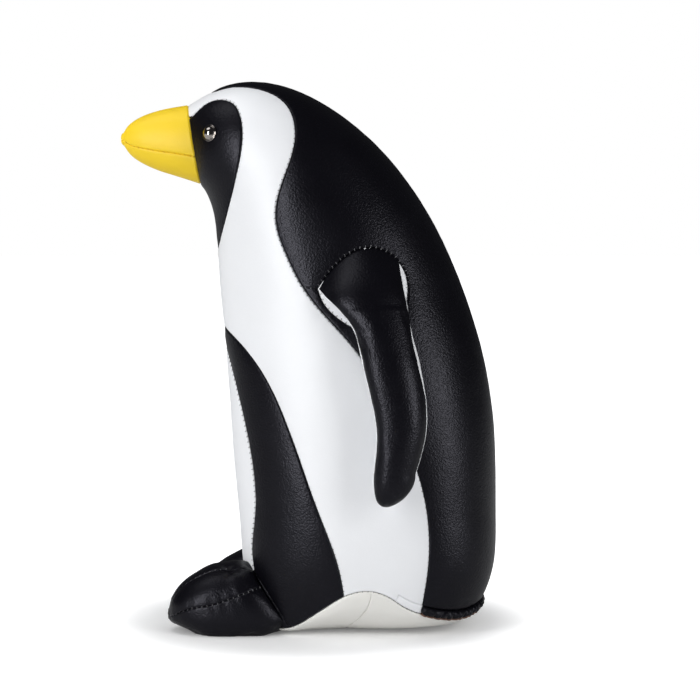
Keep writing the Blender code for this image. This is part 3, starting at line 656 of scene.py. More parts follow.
middles = body_point(body_at[triangles].mean(1))[:, 1:] / MM
low = middles[:, 1] < base_height(middles[:, 0])
hem_strip = middles[:, 1] < base_height(middles[:, 0]) + HEM_HEIGHT
behind_crown = within([(crown[0][0], OVER_Z), *crown, (crown[-1][0], UNDER_Z), (FAR, UNDER_Z), (FAR, OVER_Z)],
                      middles)
flap = hem_strip & (middles[:, 0] > np.interp(middles[:, 1], flap_end[:, 1], flap_end[:, 0])) & ~behind_crown
regions = {
    "none": low | (hem_strip & behind_crown),
    "closing_flap": flap,
    "underarm_panel": within(armhole[:-1], middles),
    "face_patch": within([*face, (-FAR, THROAT_Z), (-FAR, FACE_TOP_Z)], middles),
    "leg_panel": within([*leg_front[::-1], (-FAR, BELLY_TOP_Z), (-FAR, LEG_TOP_Z), *leg_back,
                         LEG_BACK_SEAM[-1], *UNDER_FOOT], middles),
    "belly_panel": within([*leg_front, ANKLE_BOTTOM, (ANKLE_BOTTOM[0], UNDER_Z), (-FAR, UNDER_Z),
                           (-FAR, BELLY_TOP_Z)], middles),
    "back_panel": behind_crown,
    "side_panel": np.ones(len(middles), bool),
}
panel_of = np.full(len(triangles), "", object)
for name, inside in regions.items():
    panel_of[(panel_of == "") & inside] = name
print("triangles in each panel:", {name: int((panel_of == name).sum()) for name in regions})

# %% [markdown]
# ## Rolled edges and puckers
# Panels are sewn face to face and turned, so each edge curls down into the seam. The stuffing then pushes the
# middles out, which leaves a broad soft valley along every seam, and each stitch draws the edge in a little
# more. These three shapes are added along the surface's own direction, as real relief and not only as shading.

# %% Shape the leather beside a seam
PITCH = 2.2 * MM
EDGE_ROLL = 0.8 * MM
VALLEY, VALLEY_WIDTH = 0.28 * MM, 3.2 * MM
SCALLOP = 0.12 * MM
PUCKER = 0.10 * MM
LEATHER_THICKNESS = 0.8 * MM
SEAM_STRENGTH = {"base": 0.6, "beak_root": 0.35, "ankle": 0.6, "dart": 0.55, "front": 0.3, "back": 0.15,
                 "hem": 0.8, "flap_end": 0.5}
SEAM_REACH = 14 * MM


def soft_noise(points, size, seed=0.0):
    """Smooth noise from about -1 to 1, with bumps of the given size."""
    return np.array([noise.noise(Vector(p) / size + Vector((seed, 0, 0))) for p in points])


def sink(distance, along, strength=1.0, seed=0.0):
    """How far the leather lies below the plump surface, at a distance from a seam and a place along it."""
    roll = np.where(distance < EDGE_ROLL,
                    EDGE_ROLL - np.sqrt(np.maximum(EDGE_ROLL**2 - (EDGE_ROLL - distance) ** 2, 0)), 0)
    valley = VALLEY * np.exp(-((distance / VALLEY_WIDTH) ** 2))
    scallop = SCALLOP * (0.5 + 0.5 * np.cos(2 * math.pi * along / PITCH)) * np.exp(-distance / (0.9 * MM))
    ripple = soft_noise(np.stack([along, distance * 0.25, np.full_like(along, seed)], 1), 3.2 * MM, seed)
    return strength * (roll + valley + scallop) + PUCKER * ripple * np.exp(-distance / (3.0 * MM))


def crown_drop(points):
    """How far the stuffing lets the crown settle below the smooth form."""
    return 0.5 * MM * np.clip((points[:, 2] / MM - 195) / 17, 0, 1)


# %% Displace the body's points
depth = np.zeros(len(smooth_body))
for seed, (name, line) in enumerate(seam_places.items()):
    distance, along = distance_to(line, smooth_body)
    near = distance < SEAM_REACH
    dip = np.zeros(len(smooth_body))
    dip[near] = sink(distance[near], along[near], SEAM_STRENGTH.get(name, 1.0), float(seed))
    depth = np.where(np.abs(dip) > np.abs(depth), dip, depth)
softness = 0.16 * MM * soft_noise(smooth_body, 22 * MM) + 0.05 * MM * soft_noise(smooth_body, 7 * MM, 9.0)
softness -= crown_drop(smooth_body)
fade = np.minimum(1, distance_to(seam_places["beak_root"], smooth_body)[0] / (6 * MM))
body_places = smooth_body - body_normals * (depth - softness * fade)[:, None]
body_places[np.isin(body_at[:, 1], (0, math.pi)), 0] = 0
print("deepest point of a seam, mm:", round(depth.max() / MM, 2))


# %% Turn points into pieces
def make_piece(name, points, faces, material):
    """A mesh object from points and faces, shaded smooth, with its finish."""
    mesh = bpy.data.meshes.new(name)
    mesh.from_pydata([tuple(p) for p in points], [], [tuple(int(i) for i in f) for f in faces])
    mesh.materials.append(material)
    mesh.shade_smooth()
    obj = bpy.data.objects.new(name, mesh)
    bpy.context.scene.collection.objects.link(obj)
    return obj


def thick(points, normals, faces, thickness=LEATHER_THICKNESS):
    """The surface with an inner side and a rim, so that it is a closed sheet of leather."""
    used = np.unique(faces)
    index = np.full(len(points), -1)
    index[used] = np.arange(len(used))
    faces, points, normals = index[faces], points[used], normals[used]
    ends = np.concatenate([faces[:, [i, (i + 1) % faces.shape[1]]] for i in range(faces.shape[1])])
    seen = {tuple(e) for e in ends}
    rim = np.array([e for e in seen if (e[1], e[0]) not in seen])
    shift = len(points)
    walls = [(b, a, a + shift, b + shift) for a, b in rim]
    return np.concatenate([points, points - thickness * normals]), [*faces, *(faces[:, ::-1] + shift), *walls]


def mirrored(points, faces):
    return points * (-1, 1, 1), [tuple(f)[::-1] for f in faces]


def both_halves(points, normals, faces):
    """A piece that crosses the middle: its left half and the mirror image, sharing the points between."""
    shift = len(points)
    twin = np.arange(shift) + shift
    twin[points[:, 0] == 0] = np.arange(shift)[points[:, 0] == 0]
    flip = (-1, 1, 1)
    return (np.concatenate([points, points * flip]), np.concatenate([normals, normals * flip]),
            np.concatenate([faces, twin[faces][:, ::-1]]))


def own(obj, body, slot, *nodes):
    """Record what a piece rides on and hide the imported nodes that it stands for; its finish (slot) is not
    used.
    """
    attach(obj, body)
    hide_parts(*nodes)
    return obj


# %% Make the body's panels
PANEL_FINISH = {"back_panel": BLACK, "face_patch": BLACK, "leg_panel": BLACK,
                "side_panel": WHITE, "underarm_panel": WHITE, "closing_flap": WHITE}
for name, material in PANEL_FINISH.items():
    points, faces = thick(body_places, body_normals, triangles[panel_of == name])
    for side, (p, f) in (("left", (points, faces)), ("right", mirrored(points, faces))):
        panel = make_piece(f"{name}_{side}_sewn", p, f, material)
        own(panel, "body", "black_leather" if material is BLACK else "white_leather", f"{name}_{side}")
points, faces = thick(*both_halves(body_places, body_normals, triangles[panel_of == "belly_panel"]))
belly = own(make_piece("belly_panel_sewn", points, faces, WHITE), "body", "white_leather", "belly_panel")
print("panels made:", 2 * len(PANEL_FINISH) + 1)

# %% [markdown]
# ## The base
# Under the base seam the body ends in a cushion of the same white leather, cut in two across the middle, given
# a darker, warmer white as painted shade where it turns under. It bulges below the seam and is pressed flat
# where the ballast holds it on the table. Its outline is a ring, so a grid of spokes and rings fits it better
# than a triangulation, with the spokes crowded beside the cross seam.

# %% Shape the base cushion
BASE_CENTRE = np.array([0.0, 18.0, 0.0]) * MM
# The flat share of the base, and the row of the grid from which it lies flat.
BASE_CONTACT, FLAT_FROM = 0.3, 0.62
SPLIT_Y, SPLIT_LEAN = 25.0, 7.0 * MM
BESIDE_MM = (0.16, 0.36, 0.62, 0.95, 1.5, 2.4)
seam_ring_left = seam_places["base"]


def crowded(low, high, spacing, lines, unit):
    """Numbers from low to high, spacing apart, with more beside each of the lines."""
    values = [low, high]
    for line in lines:
        values += [line + side * reach / unit for reach in (0, *BESIDE_MM) for side in (1, -1)]
    field = np.arange(low, high, spacing)
    far_off = np.all([np.abs(field - line) > 3.0 / unit for line in (*lines, low - 9, high + 9)], axis=0)
    values = np.unique(np.round([*values, *field[far_off]], 7))
    return values[(values >= low) & (values <= high)]


ring_length = np.concatenate([[0], np.cumsum(np.linalg.norm(np.diff(seam_ring_left, axis=0), axis=1))]) / MM
split_at = np.interp(SPLIT_Y, seam_ring_left[:, 1] / MM, ring_length)
spokes = crowded(0, ring_length[-1], 1.1, [split_at], 1.0)
depth_down = crowded(0, 1, 0.035, [0.0], 40.0)
ring = np.stack([np.interp(spokes, ring_length, seam_ring_left[:, i]) for i in range(3)], 1)
base_grid = []
for down in depth_down:
    bend = max(0.0, 1 - down / FLAT_FROM) * math.pi / 2
    flat_share = BASE_CONTACT * (1 - down) / (1 - FLAT_FROM)
    share = BASE_CONTACT + (1 - BASE_CONTACT) * math.sin(bend) if bend else flat_share
    spoke = (ring - BASE_CENTRE) * (1, 1, 0) * share
    spoke[:, 1] -= SPLIT_LEAN * math.sin(math.pi * min(1, 1.3 * (1 - share))) * np.abs(ring[:, 0]) / (42 * MM)
    base_grid.append(BASE_CENTRE + spoke + ring * (0, 0, 1) * (1 - math.cos(bend)))
base_grid = np.array(base_grid)
split_column = int(np.argmin(np.abs(spokes - split_at)))
base_split = base_grid[:, split_column]
print("base grid:", base_grid.shape, "cross seam from", (base_split[0] / MM).round(1))


# %% Grids of points
def grid_normals(grid, wrapped=False):
    """The outward direction at each point of a grid whose rows run one way round the piece."""
    along = np.gradient(grid, axis=0)
    around = np.roll(grid, -1, 1) - np.roll(grid, 1, 1) if wrapped else np.gradient(grid, axis=1)
    normals = np.cross(around, along)
    return normals / np.maximum(np.linalg.norm(normals, axis=2, keepdims=True), 1e-12)


def sewn_grid(grid, normals, seams, seed, softness=0.1 * MM, reach=12 * MM):
    """The grid's points sunk beside its seams, which are (line of points, strength) pairs."""
    points, flat = grid.reshape(-1, 3), normals.reshape(-1, 3)
    depth = np.zeros(len(points))
    for index, (line, strength) in enumerate(seams):
        distance, along = distance_to(line, points)
        near = distance < reach
        dip = np.zeros(len(points))
        dip[near] = sink(distance[near], along[near], strength, seed + index)
        depth = np.where(np.abs(dip) > np.abs(depth), dip, depth)
    soft = softness * soft_noise(points, 14 * MM, seed)
    soft = soft + 0.3 * softness * soft_noise(points, 5 * MM, seed + 5)
    return (points - flat * (depth - soft)[:, None]).reshape(grid.shape)


def grid_faces(rows, columns, wrapped=False, first=0):
    """Quads between the points of a grid."""
    across = np.arange(columns if wrapped else columns - 1)
    row, column = np.meshgrid(np.arange(rows - 1), across, indexing="ij")
    after = (column + 1) % columns
    a = first + row * columns + column
    b = first + row * columns + after
    return np.stack([a, b, b + columns, a + columns], -1).reshape(-1, 4)


# %% Sew the base
base_normals = -grid_normals(base_grid)
base_normals[depth_down > FLAT_FROM] = (0, 0, -1)
base_normals[:, [0, -1], 0] = 0
base_low = sewn_grid(base_grid, base_normals, [(seam_ring_left, 0.6), (base_split, 0.45)], 20.0, 0.06 * MM)
base_low[..., 2] = np.maximum(base_low[..., 2], 0.0)
base_low[:, [0, -1], 0] = 0
for name, columns in (("front", slice(0, split_column + 1)), ("rear", slice(split_column, None))):
    part, out = base_low[:, columns], base_normals[:, columns]
    quads = grid_faces(*part.shape[:2])[:, ::-1]
    points, faces = thick(*both_halves(part.reshape(-1, 3), out.reshape(-1, 3), quads))
    nodes = [f"base_panel_{name}"] + (["ballast_bag"] if name == "rear" else [])
    own(make_piece(f"base_panel_{name}_sewn", points, faces, BASE_WHITE_PAINTED_SHADE), "body", "cream_leather", *nodes)

# %% [markdown]
# ## The gathered hem
# The body is filled through an opening at the back of the base, then drawn shut by hand. The leather's edge
# is bunched in tight folds by the closing thread, so the hem is a thin roll with creases across it at uneven
# steps. It is made as rings of points along the opening whose size swells and pinches, with a crease's sharp
# valley and round crest, and a narrow raw edge shows under it.

# %% Gather the hem
GATHER = 2.9 * MM


def gathered_roll(name, path, outward, upward, half_height, bulge, material, seed):
    """A roll along a path, pinched by folds across it."""
    length = np.concatenate([[0], np.cumsum(np.linalg.norm(np.diff(path, axis=0), axis=1))])
    along = np.stack([length, 0 * length, 0 * length], 1)
    wander = 0.8 * MM * soft_noise(along, 6 * MM, seed)
    phase = (length + wander) / GATHER * math.pi
    crest = np.abs(np.sin(phase)) ** 0.55
    lean = 0.35 * np.sin(phase * 0.5 + seed)
    size = 0.66 + 0.42 * crest + 0.10 * soft_noise(along, 3 * MM, seed + 3)
    taper = np.clip(np.minimum(length, length[-1] - length) / (1.2 * MM), 0.12, 1) ** 0.5
    tangent = np.gradient(path, axis=0)
    tangent /= np.linalg.norm(tangent, axis=1, keepdims=True)
    rings = []
    for angle in np.linspace(0, 2 * math.pi, 26, endpoint=False):
        fold = 1 + 0.10 * np.cos(2 * angle + phase) + 0.08 * np.cos(3 * angle - 1.3 * phase)
        up = half_height * np.sin(angle) * (0.9 + 0.1 * crest) * taper
        out = bulge * np.cos(angle) * size * fold * taper
        slant = lean * half_height * np.sin(angle)
        rings.append(path + upward * up[:, None] + outward * out[:, None] + tangent * slant[:, None])
    grid = np.stack(rings, 1)
    faces = [*grid_faces(*grid.shape[:2], wrapped=True), range(grid.shape[1])[::-1],
             range((len(path) - 1) * grid.shape[1], len(path) * grid.shape[1])]
    return make_piece(name, grid.reshape(-1, 3), [list(f) for f in faces], material)


def line_on_body(side_view_low, from_y, step=0.25 * MM):
    """A line a set height above the base seam, from a side-view y back to the middle of the back."""
    y = np.linspace(from_y, 80, 300)
    return evenly(body_point, sewn(np.stack([y, base_height(y) + side_view_low], 1), None, "back"), step)


hem_at = line_on_body(HEM_HEIGHT / 2, float(crown[-1][0]) - 0.2)
hem_line, hem_out = body_point(hem_at), normals_of(body_point, np.clip(hem_at, [0.001, 0.01], [1, math.pi]))
hem_up = slopes(body_point, hem_at)[0]
hem_up /= np.linalg.norm(hem_up, axis=1, keepdims=True)
hem_line[-1, 0] = hem_out[-1, 0] = hem_up[-1, 0] = 0
flip = (-1, 1, 1)


def round_the_back(values):
    return np.concatenate([values, values[-2::-1] * flip])


path = round_the_back(hem_line) - round_the_back(hem_out) * 0.35 * MM
hem = gathered_roll("closing_hem_gathered", path, round_the_back(hem_out), round_the_back(hem_up),
                    HEM_HEIGHT / 2 * MM, 1.75 * MM, BLACK, 3.0)
own(hem, "body", "black_leather", "closing_hem")
raw_path = path - round_the_back(hem_up) * 1.75 * MM + round_the_back(hem_out) * 0.1 * MM
raw = gathered_roll("closing_hem_raw_edge", raw_path, round_the_back(hem_out), round_the_back(hem_up),
                    0.42 * MM, 1.35 * MM, RAW_EDGE, 3.0)
own(raw, "body", "black_leather")
print("hem length, mm:", round(float(np.linalg.norm(np.diff(path, axis=0), axis=1).sum() / MM)))

# %% [markdown]
# ## Stuffing the small pieces
# The wings and the feet are cut, sewn and then packed loosely with fibre, so their skins are pushed out and
# pull tight between the seams. That is done here with a short cloth simulation: each closed shape is blown up
# a little from inside while the end that is sewn to the body is held. The body and the beak are packed so hard
# that they hardly differ from their drawn slices, so they need no simulation.


# %% Fill a closed grid with stuffing
def stuffed(grid, held_rows, most=0.8, pressure=4.0, frames=14, shrink=-0.02):
    """The wrapped grid blown up from inside by a cloth simulation, with no point moved over most mm."""
    rows, columns = grid.shape[:2]
    step = 2
    ring, turn = np.arange(0, rows, step), np.arange(0, columns, step)
    coarse = grid[ring][:, turn].reshape(-1, 3)
    faces = grid_faces(len(ring), len(turn), wrapped=True).tolist()
    first_end = list(range(len(turn)))[::-1]
    last_end = list(range((len(ring) - 1) * len(turn), len(ring) * len(turn)))
    skin = bpy.data.meshes.new("skin")
    skin.from_pydata(coarse.tolist(), [], faces + [first_end, last_end])
    a, b, c = (coarse[np.array(faces)[:, corner]] for corner in range(3))
    if (a * np.cross(b, c)).sum() < 0:
        skin.flip_normals()
    bag = bpy.data.objects.new("skin", skin)
    bpy.context.scene.collection.objects.link(bag)
    held = bag.vertex_groups.new(name="held")
    held.add([i for i in range(len(coarse)) if ring[i // len(turn)] in held_rows], 1.0, "REPLACE")
    cloth = bag.modifiers.new("cloth", "CLOTH")
    settings = cloth.settings
    settings.vertex_group_mass = "held"
    settings.use_pressure, settings.uniform_pressure_force = True, pressure
    settings.effector_weights.gravity = 0
    settings.shrink_min = shrink
    settings.tension_stiffness = settings.compression_stiffness = 30
    cloth.point_cache.frame_start, cloth.point_cache.frame_end = 1, frames
    for frame_number in range(1, frames + 1):
        bpy.context.scene.frame_set(frame_number)
    evaluated = bag.evaluated_get(bpy.context.evaluated_depsgraph_get()).to_mesh()
    moved = np.array([v.co[:] for v in evaluated.vertices]) - coarse
    bpy.context.scene.frame_set(1)
    bpy.data.objects.remove(bag)
    size = np.linalg.norm(moved, axis=1, keepdims=True)
    moved *= np.tanh(size / (most * MM)) * most * MM / np.maximum(size, 1e-9)
    moved = moved.reshape(len(ring), len(turn), 3)
    moved = np.concatenate([moved, moved[:, :1]], 1)
    turn = np.append(turn, columns)
    # The coarse movement is spread over the fine grid, first round each ring and then along the piece.
    across = np.stack([[np.interp(np.arange(columns), turn, moved[r, :, i]) for i in range(3)]
                       for r in range(len(ring))])
    change = np.stack([[np.interp(np.arange(rows), ring, across[:, i, c]) for i in range(3)]
                       for c in range(columns)])
    change = change.transpose(2, 0, 1)
    print("stuffing moved the skin up to", (np.linalg.norm(change, axis=2).max() / MM).round(2), "mm")
    return grid + change


# %% [markdown]
# ## The beak
# The beak is two pieces of yellow leather, an upper and a lower, sewn along both sides and round the tip, then
# stuffed firm and sewn to the ring between the two sides of the face. Each ring of points is an ellipse that
# shrinks towards the tip, and the side seam runs a little below the middle. The seam stitches are ochre.

# %% Shape the beak
# Top (y, z), underside (y, z) and half width of each ring, in mm.
BEAK_SLICES = (
    (-48.9, 209.6, -43.9, 178.2, 13.0),
    (-56.5, 208.7, -52.5, 180.6, 12.0),
    (-63.6, 206.9, -60.4, 183.1, 10.4),
    (-69.2, 204.2, -67.2, 186.4, 8.0),
    (-72.9, 201.0, -72.0, 190.2, 5.0),
    (-74.4, 198.6, -74.3, 193.4, 3.2),
)
BEAK_SEAM_ANGLE = math.radians(-18)
beak_slice = spline(BEAK_SLICES)


def oval(centre, half_a, half_b, angles, square=2.0):
    around = np.asarray(angles)[:, None]
    return centre + half_a * power(np.cos(around), 2 / square) + half_b * power(np.sin(around), 2 / square)


def beak_ring(along, angles, shrink=1.0, forward=0.0):
    top_y, top_z, low_y, low_z, half_width = beak_slice(along)
    top, low = np.array([0, top_y, top_z]), np.array([0, low_y, low_z])
    centre = (top + low) / 2 + forward * np.array([0, -1, 0.02])
    return oval(centre, np.array([half_width, 0, 0]) * shrink, (top - low) / 2 * shrink, angles) * MM


side_angles = (BEAK_SEAM_ANGLE, math.pi - BEAK_SEAM_ANGLE)
around_beak = crowded(-math.pi / 2, 1.5 * math.pi, 0.09, side_angles, 9.0)
along_beak = crowded(0, 1, 0.022, [0.0], 34.0)
rings = [beak_ring(0, around_beak, 0.97 - 0.03 * step, -1.2 * step) for step in (2, 1)]
rings += [beak_ring(s, around_beak, 1 - 0.035 * math.sin(math.pi * min(1, s * 1.1))) for s in along_beak]
rings += [beak_ring(1, around_beak, math.cos(b), 1.3 * math.sin(b))
          for b in np.radians([15, 30, 45, 60, 75, 84])]
beak_grid = np.array(rings)[:, :-1]
columns = [int(np.argmin(np.abs(around_beak - a))) for a in side_angles]
beak_seams = [(beak_grid[2:, c], 0.6) for c in columns]
beak_out = grid_normals(beak_grid, wrapped=True)
beak_sign = np.sign((beak_out[10, :, 0] * beak_grid[10, :, 0]).sum())
beak_out *= beak_sign
beak_sewn = sewn_grid(beak_grid, beak_out, beak_seams, 40.0, 0.10 * MM)


def band(grid, out, first, last, wrapped_columns):
    """The part of a wrapped grid between two columns, as points, normals and quads."""
    pick = [c % wrapped_columns for c in range(first, last + 1)]
    part, normals = grid[:, pick], out[:, pick]
    return part.reshape(-1, 3), normals.reshape(-1, 3), grid_faces(len(grid), len(pick))


def facing_out(points, normals, faces):
    """The same faces, turned round if they face inwards."""
    p, q, r = points[faces[:, 0]], points[faces[:, 1]], points[faces[:, 2]]
    outward = (np.cross(q - p, r - p) * normals[faces[:, 0]]).sum() > 0
    return faces if outward else faces[:, ::-1]


width = beak_grid.shape[1]
for name, first, last, nodes in (("beak_upper", columns[0], columns[1], ["beak_upper", "beak_filling"]),
                                 ("beak_lower", columns[1], columns[0] + width, ["beak_lower"])):
    points, normals, quads = band(beak_sewn, beak_out, first, last, width)
    points, faces = thick(points, normals, facing_out(points, normals, quads))
    half = own(make_piece(f"{name}_sewn", points, faces, YELLOW), "body", "yellow_leather", *nodes)
print("beak points:", beak_grid.shape)

# %% [markdown]
# ## The eyes
# Each eye is a domed metal stud pressed through the face, with a thin flange that sinks into the leather. It
# is a shape turned about one axis, so a profile swept round makes it. The dome is nearly black chrome and
# takes its look from the lamps that it mirrors.

# %% Turn the eye studs
EYE_AT = (-38.6, 198.5)
EYE_PROFILE = ((0.0, 2.45), (0.5, 2.42), (1.0, 2.3), (1.5, 2.07), (2.0, 1.7), (2.35, 1.3), (2.6, 0.85),
               (2.72, 0.5), (2.8, 0.34), (2.95, 0.36), (3.15, 0.42), (3.3, 0.36), (3.38, 0.2), (3.36, 0.0),
               (3.2, -0.3), (1.1, -0.5), (1.1, -6.2), (0.0, -6.3))
EYE_SIDES = 48


def lathe(name, profile, place, axis, sides, material):
    """A shape turned about an axis: (radius, height) pairs from one end of the axis to the other."""
    turn = Vector(axis).to_track_quat("Z", "Y")
    verts, faces = [], []
    for radius, height in profile:
        steps = np.linspace(0, 2 * math.pi, sides, False) if radius else [0.0]
        ring = [Vector((radius * math.cos(a), radius * math.sin(a), height)) for a in steps]
        verts += [Vector(place) + turn @ spot * MM for spot in ring]
    start = 0
    for (radius, _), (after, _) in zip(profile, profile[1:]):
        size, next_size = (sides if radius else 1), (sides if after else 1)
        for i in range(sides):
            j = (i + 1) % sides
            after_ring = start + size
            quad = [start + i % size, after_ring + i % next_size, after_ring + j % next_size, start + j % size]
            faces.append(list(dict.fromkeys(quad)))
        start += size
    return make_piece(name, verts, faces, material)


eye_place = trace([EYE_AT])
for side, name in ((1, "left"), (-1, "right")):
    flip_x = np.array([side, 1, 1])
    place, axis = body_point(eye_place)[0] * flip_x, normals_of(body_point, eye_place)[0] * flip_x
    eye = lathe(f"eye_{name}_stud", EYE_PROFILE, place, axis, EYE_SIDES, GUNMETAL)
    own(eye, "body", "nickel", f"eye_{name}", f"eye_washer_{name}")
print("eye at, mm:", (body_point(eye_place)[0] / MM).round(1))

# %% [markdown]
# ## The wings
# A wing is a long flat pad: black leather outside, white lining inside, sewn together along both edges so
# that a thread's width of white shows, and lightly stuffed. Its top is sewn into the arch on the shoulder and
# the rest hangs free. The rings of points lie along the body at each height, like slices through the pad. The
# top rows start as the arch itself and change into the first slice, and are then smoothed.

# %% Shape a wing
# Height, front and rear edge (y), thickness, and the gap to the body of each slice, in mm.
WING_SLICES = (
    (153.4, 18.0, 30.5, 2.8, 0.4),
    (149.5, 11.6, 35.4, 5.0, 0.4),
    (140.0, 5.6, 37.4, 8.0, 0.5),
    (126.0, 16.6, 40.3, 10.6, 1.0),
    (112.0, 20.6, 43.3, 12.0, 1.4),
    (97.0, 24.2, 45.7, 12.0, 1.8),
    (82.0, 26.2, 45.6, 11.6, 2.0),
    (68.0, 25.0, 41.8, 10.6, 2.2),
)
WING_LEAN = 0.75
REAR_EDGE, FRONT_EDGE = 0.14, math.pi - 0.16
PLUMP, MOST_SWELL = 1.28, 0.7
wing_slice = spline(WING_SLICES)


def body_x(y, z):
    return body_point(trace([(y, z)]))[0, 0] / MM


def wing_ring(along, angles, shrink=1.0, onward=0.0, forward=0.0):
    z, front, rear, thickness, clearance = wing_slice(along)
    thickness *= PLUMP
    middle = (front + rear) / 2
    lean = (body_x(front, z) - body_x(rear, z)) * WING_LEAN
    centre = np.array([body_x(middle, z) + clearance + thickness / 2, middle - forward, z + onward])
    chord = np.array([-lean / 2, (rear - front) / 2, 0]) * shrink
    return oval(centre, chord, np.array([thickness / 2 * shrink, 0, 0]), angles, 2.05) * MM


around_wing = crowded(-math.pi / 2, 1.5 * math.pi, 0.085, (REAR_EDGE, FRONT_EDGE), 11.0)
JOIN_Z = 131.0
ROOT_ROWS, SMOOTHED_ROWS, SMOOTHING = 26, 50, 90
join = float(np.interp(-JOIN_Z, -wing_slice(np.linspace(0, 1, 400))[:, 0], np.linspace(0, 1, 400)))
# The arch runs over the shoulder from the wing's rear edge to its front edge.
SHOULDER_ARCH = ((36.2, 149.2), (31.0, 152.6), (22.3, 154), (10.6, 146.9), (3.9, 138.2))
arch_at = evenly(body_point, sewn(smooth(SHOULDER_ARCH, 160)))
arch = body_point(arch_at) - 0.75 * MM * normals_of(body_point, arch_at)
arch_length = np.concatenate([[0], np.cumsum(np.linalg.norm(np.diff(arch, axis=0), axis=1))])
first_ring = wing_ring(join, around_wing)
outer_share = np.clip((around_wing - REAR_EDGE) / (FRONT_EDGE - REAR_EDGE), 0, 1)
turned = np.where(around_wing < REAR_EDGE, around_wing + 2 * math.pi, around_wing)
lining_share = np.clip((REAR_EDGE + 2 * math.pi - turned) / (REAR_EDGE + 2 * math.pi - FRONT_EDGE), 0, 1)
on_outer = (around_wing >= REAR_EDGE) & (around_wing <= FRONT_EDGE)
share = np.where(on_outer, outer_share, lining_share)
top_edge = np.stack([np.interp(share * arch_length[-1], arch_length, arch[:, i]) for i in range(3)], 1)
# The lining starts lower and deeper than the outer leather, which hides its raw end.
hidden = np.where(on_outer, 0, np.sin(math.pi * share)) ** 0.3
top_edge -= np.stack([1.4 * MM * hidden, 0 * hidden, 5.0 * MM * hidden], 1)
rings = []
for u in np.linspace(0, 1, ROOT_ROWS)[:-1]:
    ring = top_edge + (first_ring - top_edge) * u
    rise = math.sin(math.pi / 2 * u**0.9) ** 0.9 if u else 0.0
    ring[:, 0] = top_edge[:, 0] + (first_ring[:, 0] - top_edge[:, 0]) * np.where(on_outer, rise, u**1.5)
    rings.append(ring)
rings += [wing_ring(s, around_wing) for s in np.linspace(join, 1, 78)]
rings += [wing_ring(1, around_wing, math.cos(b), -13.2 * math.sin(b), 3.2 * math.sin(b) ** 2)
          for b in np.radians([4, 8, 12, 16, 24, 32, 40, 48, 56, 64, 72, 79, 85])]
wing_grid = np.array(rings)[:, :-1]
for _ in range(SMOOTHING):
    beside_rows = wing_grid[: SMOOTHED_ROWS - 1] + wing_grid[2 : SMOOTHED_ROWS + 1]
    wing_grid[1:SMOOTHED_ROWS] = 0.5 * wing_grid[1:SMOOTHED_ROWS] + 0.25 * beside_rows
wing_columns = [int(np.argmin(np.abs(around_wing - a))) for a in (REAR_EDGE, FRONT_EDGE)]
wing_grid = stuffed(wing_grid, set(range(ROOT_ROWS)), most=MOST_SWELL)
wing_seams = [(wing_grid[:, c], 0.6) for c in wing_columns]
wing_out = grid_normals(wing_grid, wrapped=True)
wing_out *= np.sign((wing_out[40] * (wing_grid[40] - wing_grid[40].mean(0))).sum())
wing_sewn = sewn_grid(wing_grid, wing_out, wing_seams, 60.0, 0.22 * MM)
print("wing points:", wing_grid.shape)

# %% Sew the wings
HINGE_Z = 154.2
shoulder = body_point(trace([(24.0, HINGE_Z)]))[0]
width = wing_grid.shape[1]


for name, first, last, material, slot, fillings in (
    ("wing_outer", wing_columns[0], wing_columns[1], BLACK, "black_leather", True),
    ("wing_lining", wing_columns[1], wing_columns[0] + width, WHITE, "white_leather", False),
):
    points, normals, quads = band(wing_sewn, wing_out, first, last, width)
    points, faces = thick(points, normals, facing_out(points, normals, quads))
    for side, (p, f) in (("left", (points, faces)), ("right", mirrored(points, faces))):
        pad = make_piece(f"{name}_{side}_sewn", p, f, material)
        flip_x = 1 if side == "left" else -1
        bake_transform(pad)
        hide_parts(f"{name}_{side}", *([f"wing_filling_{side}"] if fillings else []))

# %% [markdown]
# ## The feet
# A foot is a stuffed pod of three pieces: two uppers joined along the top and a sole that wraps up to a seam
# round the side. The top seam ends in a small pinch where the uppers are drawn together. The heel end closes
# against the leg along the ankle. The rings of points follow the ankle's slant, so that the last ring is the
# ankle seam itself.

# %% Shape a foot
# Place (y), underside, top and half width of each slice, in mm.
FOOT_SLICES = (
    (-55.6, 4.6, 9.0, 3.4),
    (-55.2, 4.1, 11.2, 5.4),
    (-54.2, 3.6, 13.4, 7.4),
    (-52.2, 2.9, 16.9, 10.0),
    (-48.0, 1.4, 21.0, 13.2),
    (-43.0, -1.2, 24.2, 15.4),
    (-38.0, -3.4, 26.4, 16.6),
    (-31.0, -3.6, 27.4, 17.0),
    (-25.5, -3.2, 28.9, 17.0),
    (-20.0, -2.4, 28.4, 16.8),
    (-10.0, 0.2, 24.4, 16.4),
    (-2.0, 2.4, 16.0, 15.0),
)
FOOT_X = 19.2
FOOT_SIDE_SEAM = ((-60, 5.0), (-55.4, 6.2), (-52, 8.6), (-47, 10.9), (-37.6, 13.2), (-29.4, 16), (-23.3, 18.2),
                  (-16.3, 20), (0, 24))
TOE_Y = -55.6
PINCH_Y = -30.5
foot_line = smooth(FOOT_SLICES, 200)
ankle_places = seam_places["ankle"] / MM


def foot_slice(y):
    return [np.interp(y, foot_line[:, 0], foot_line[:, i]) for i in (1, 2, 3)]


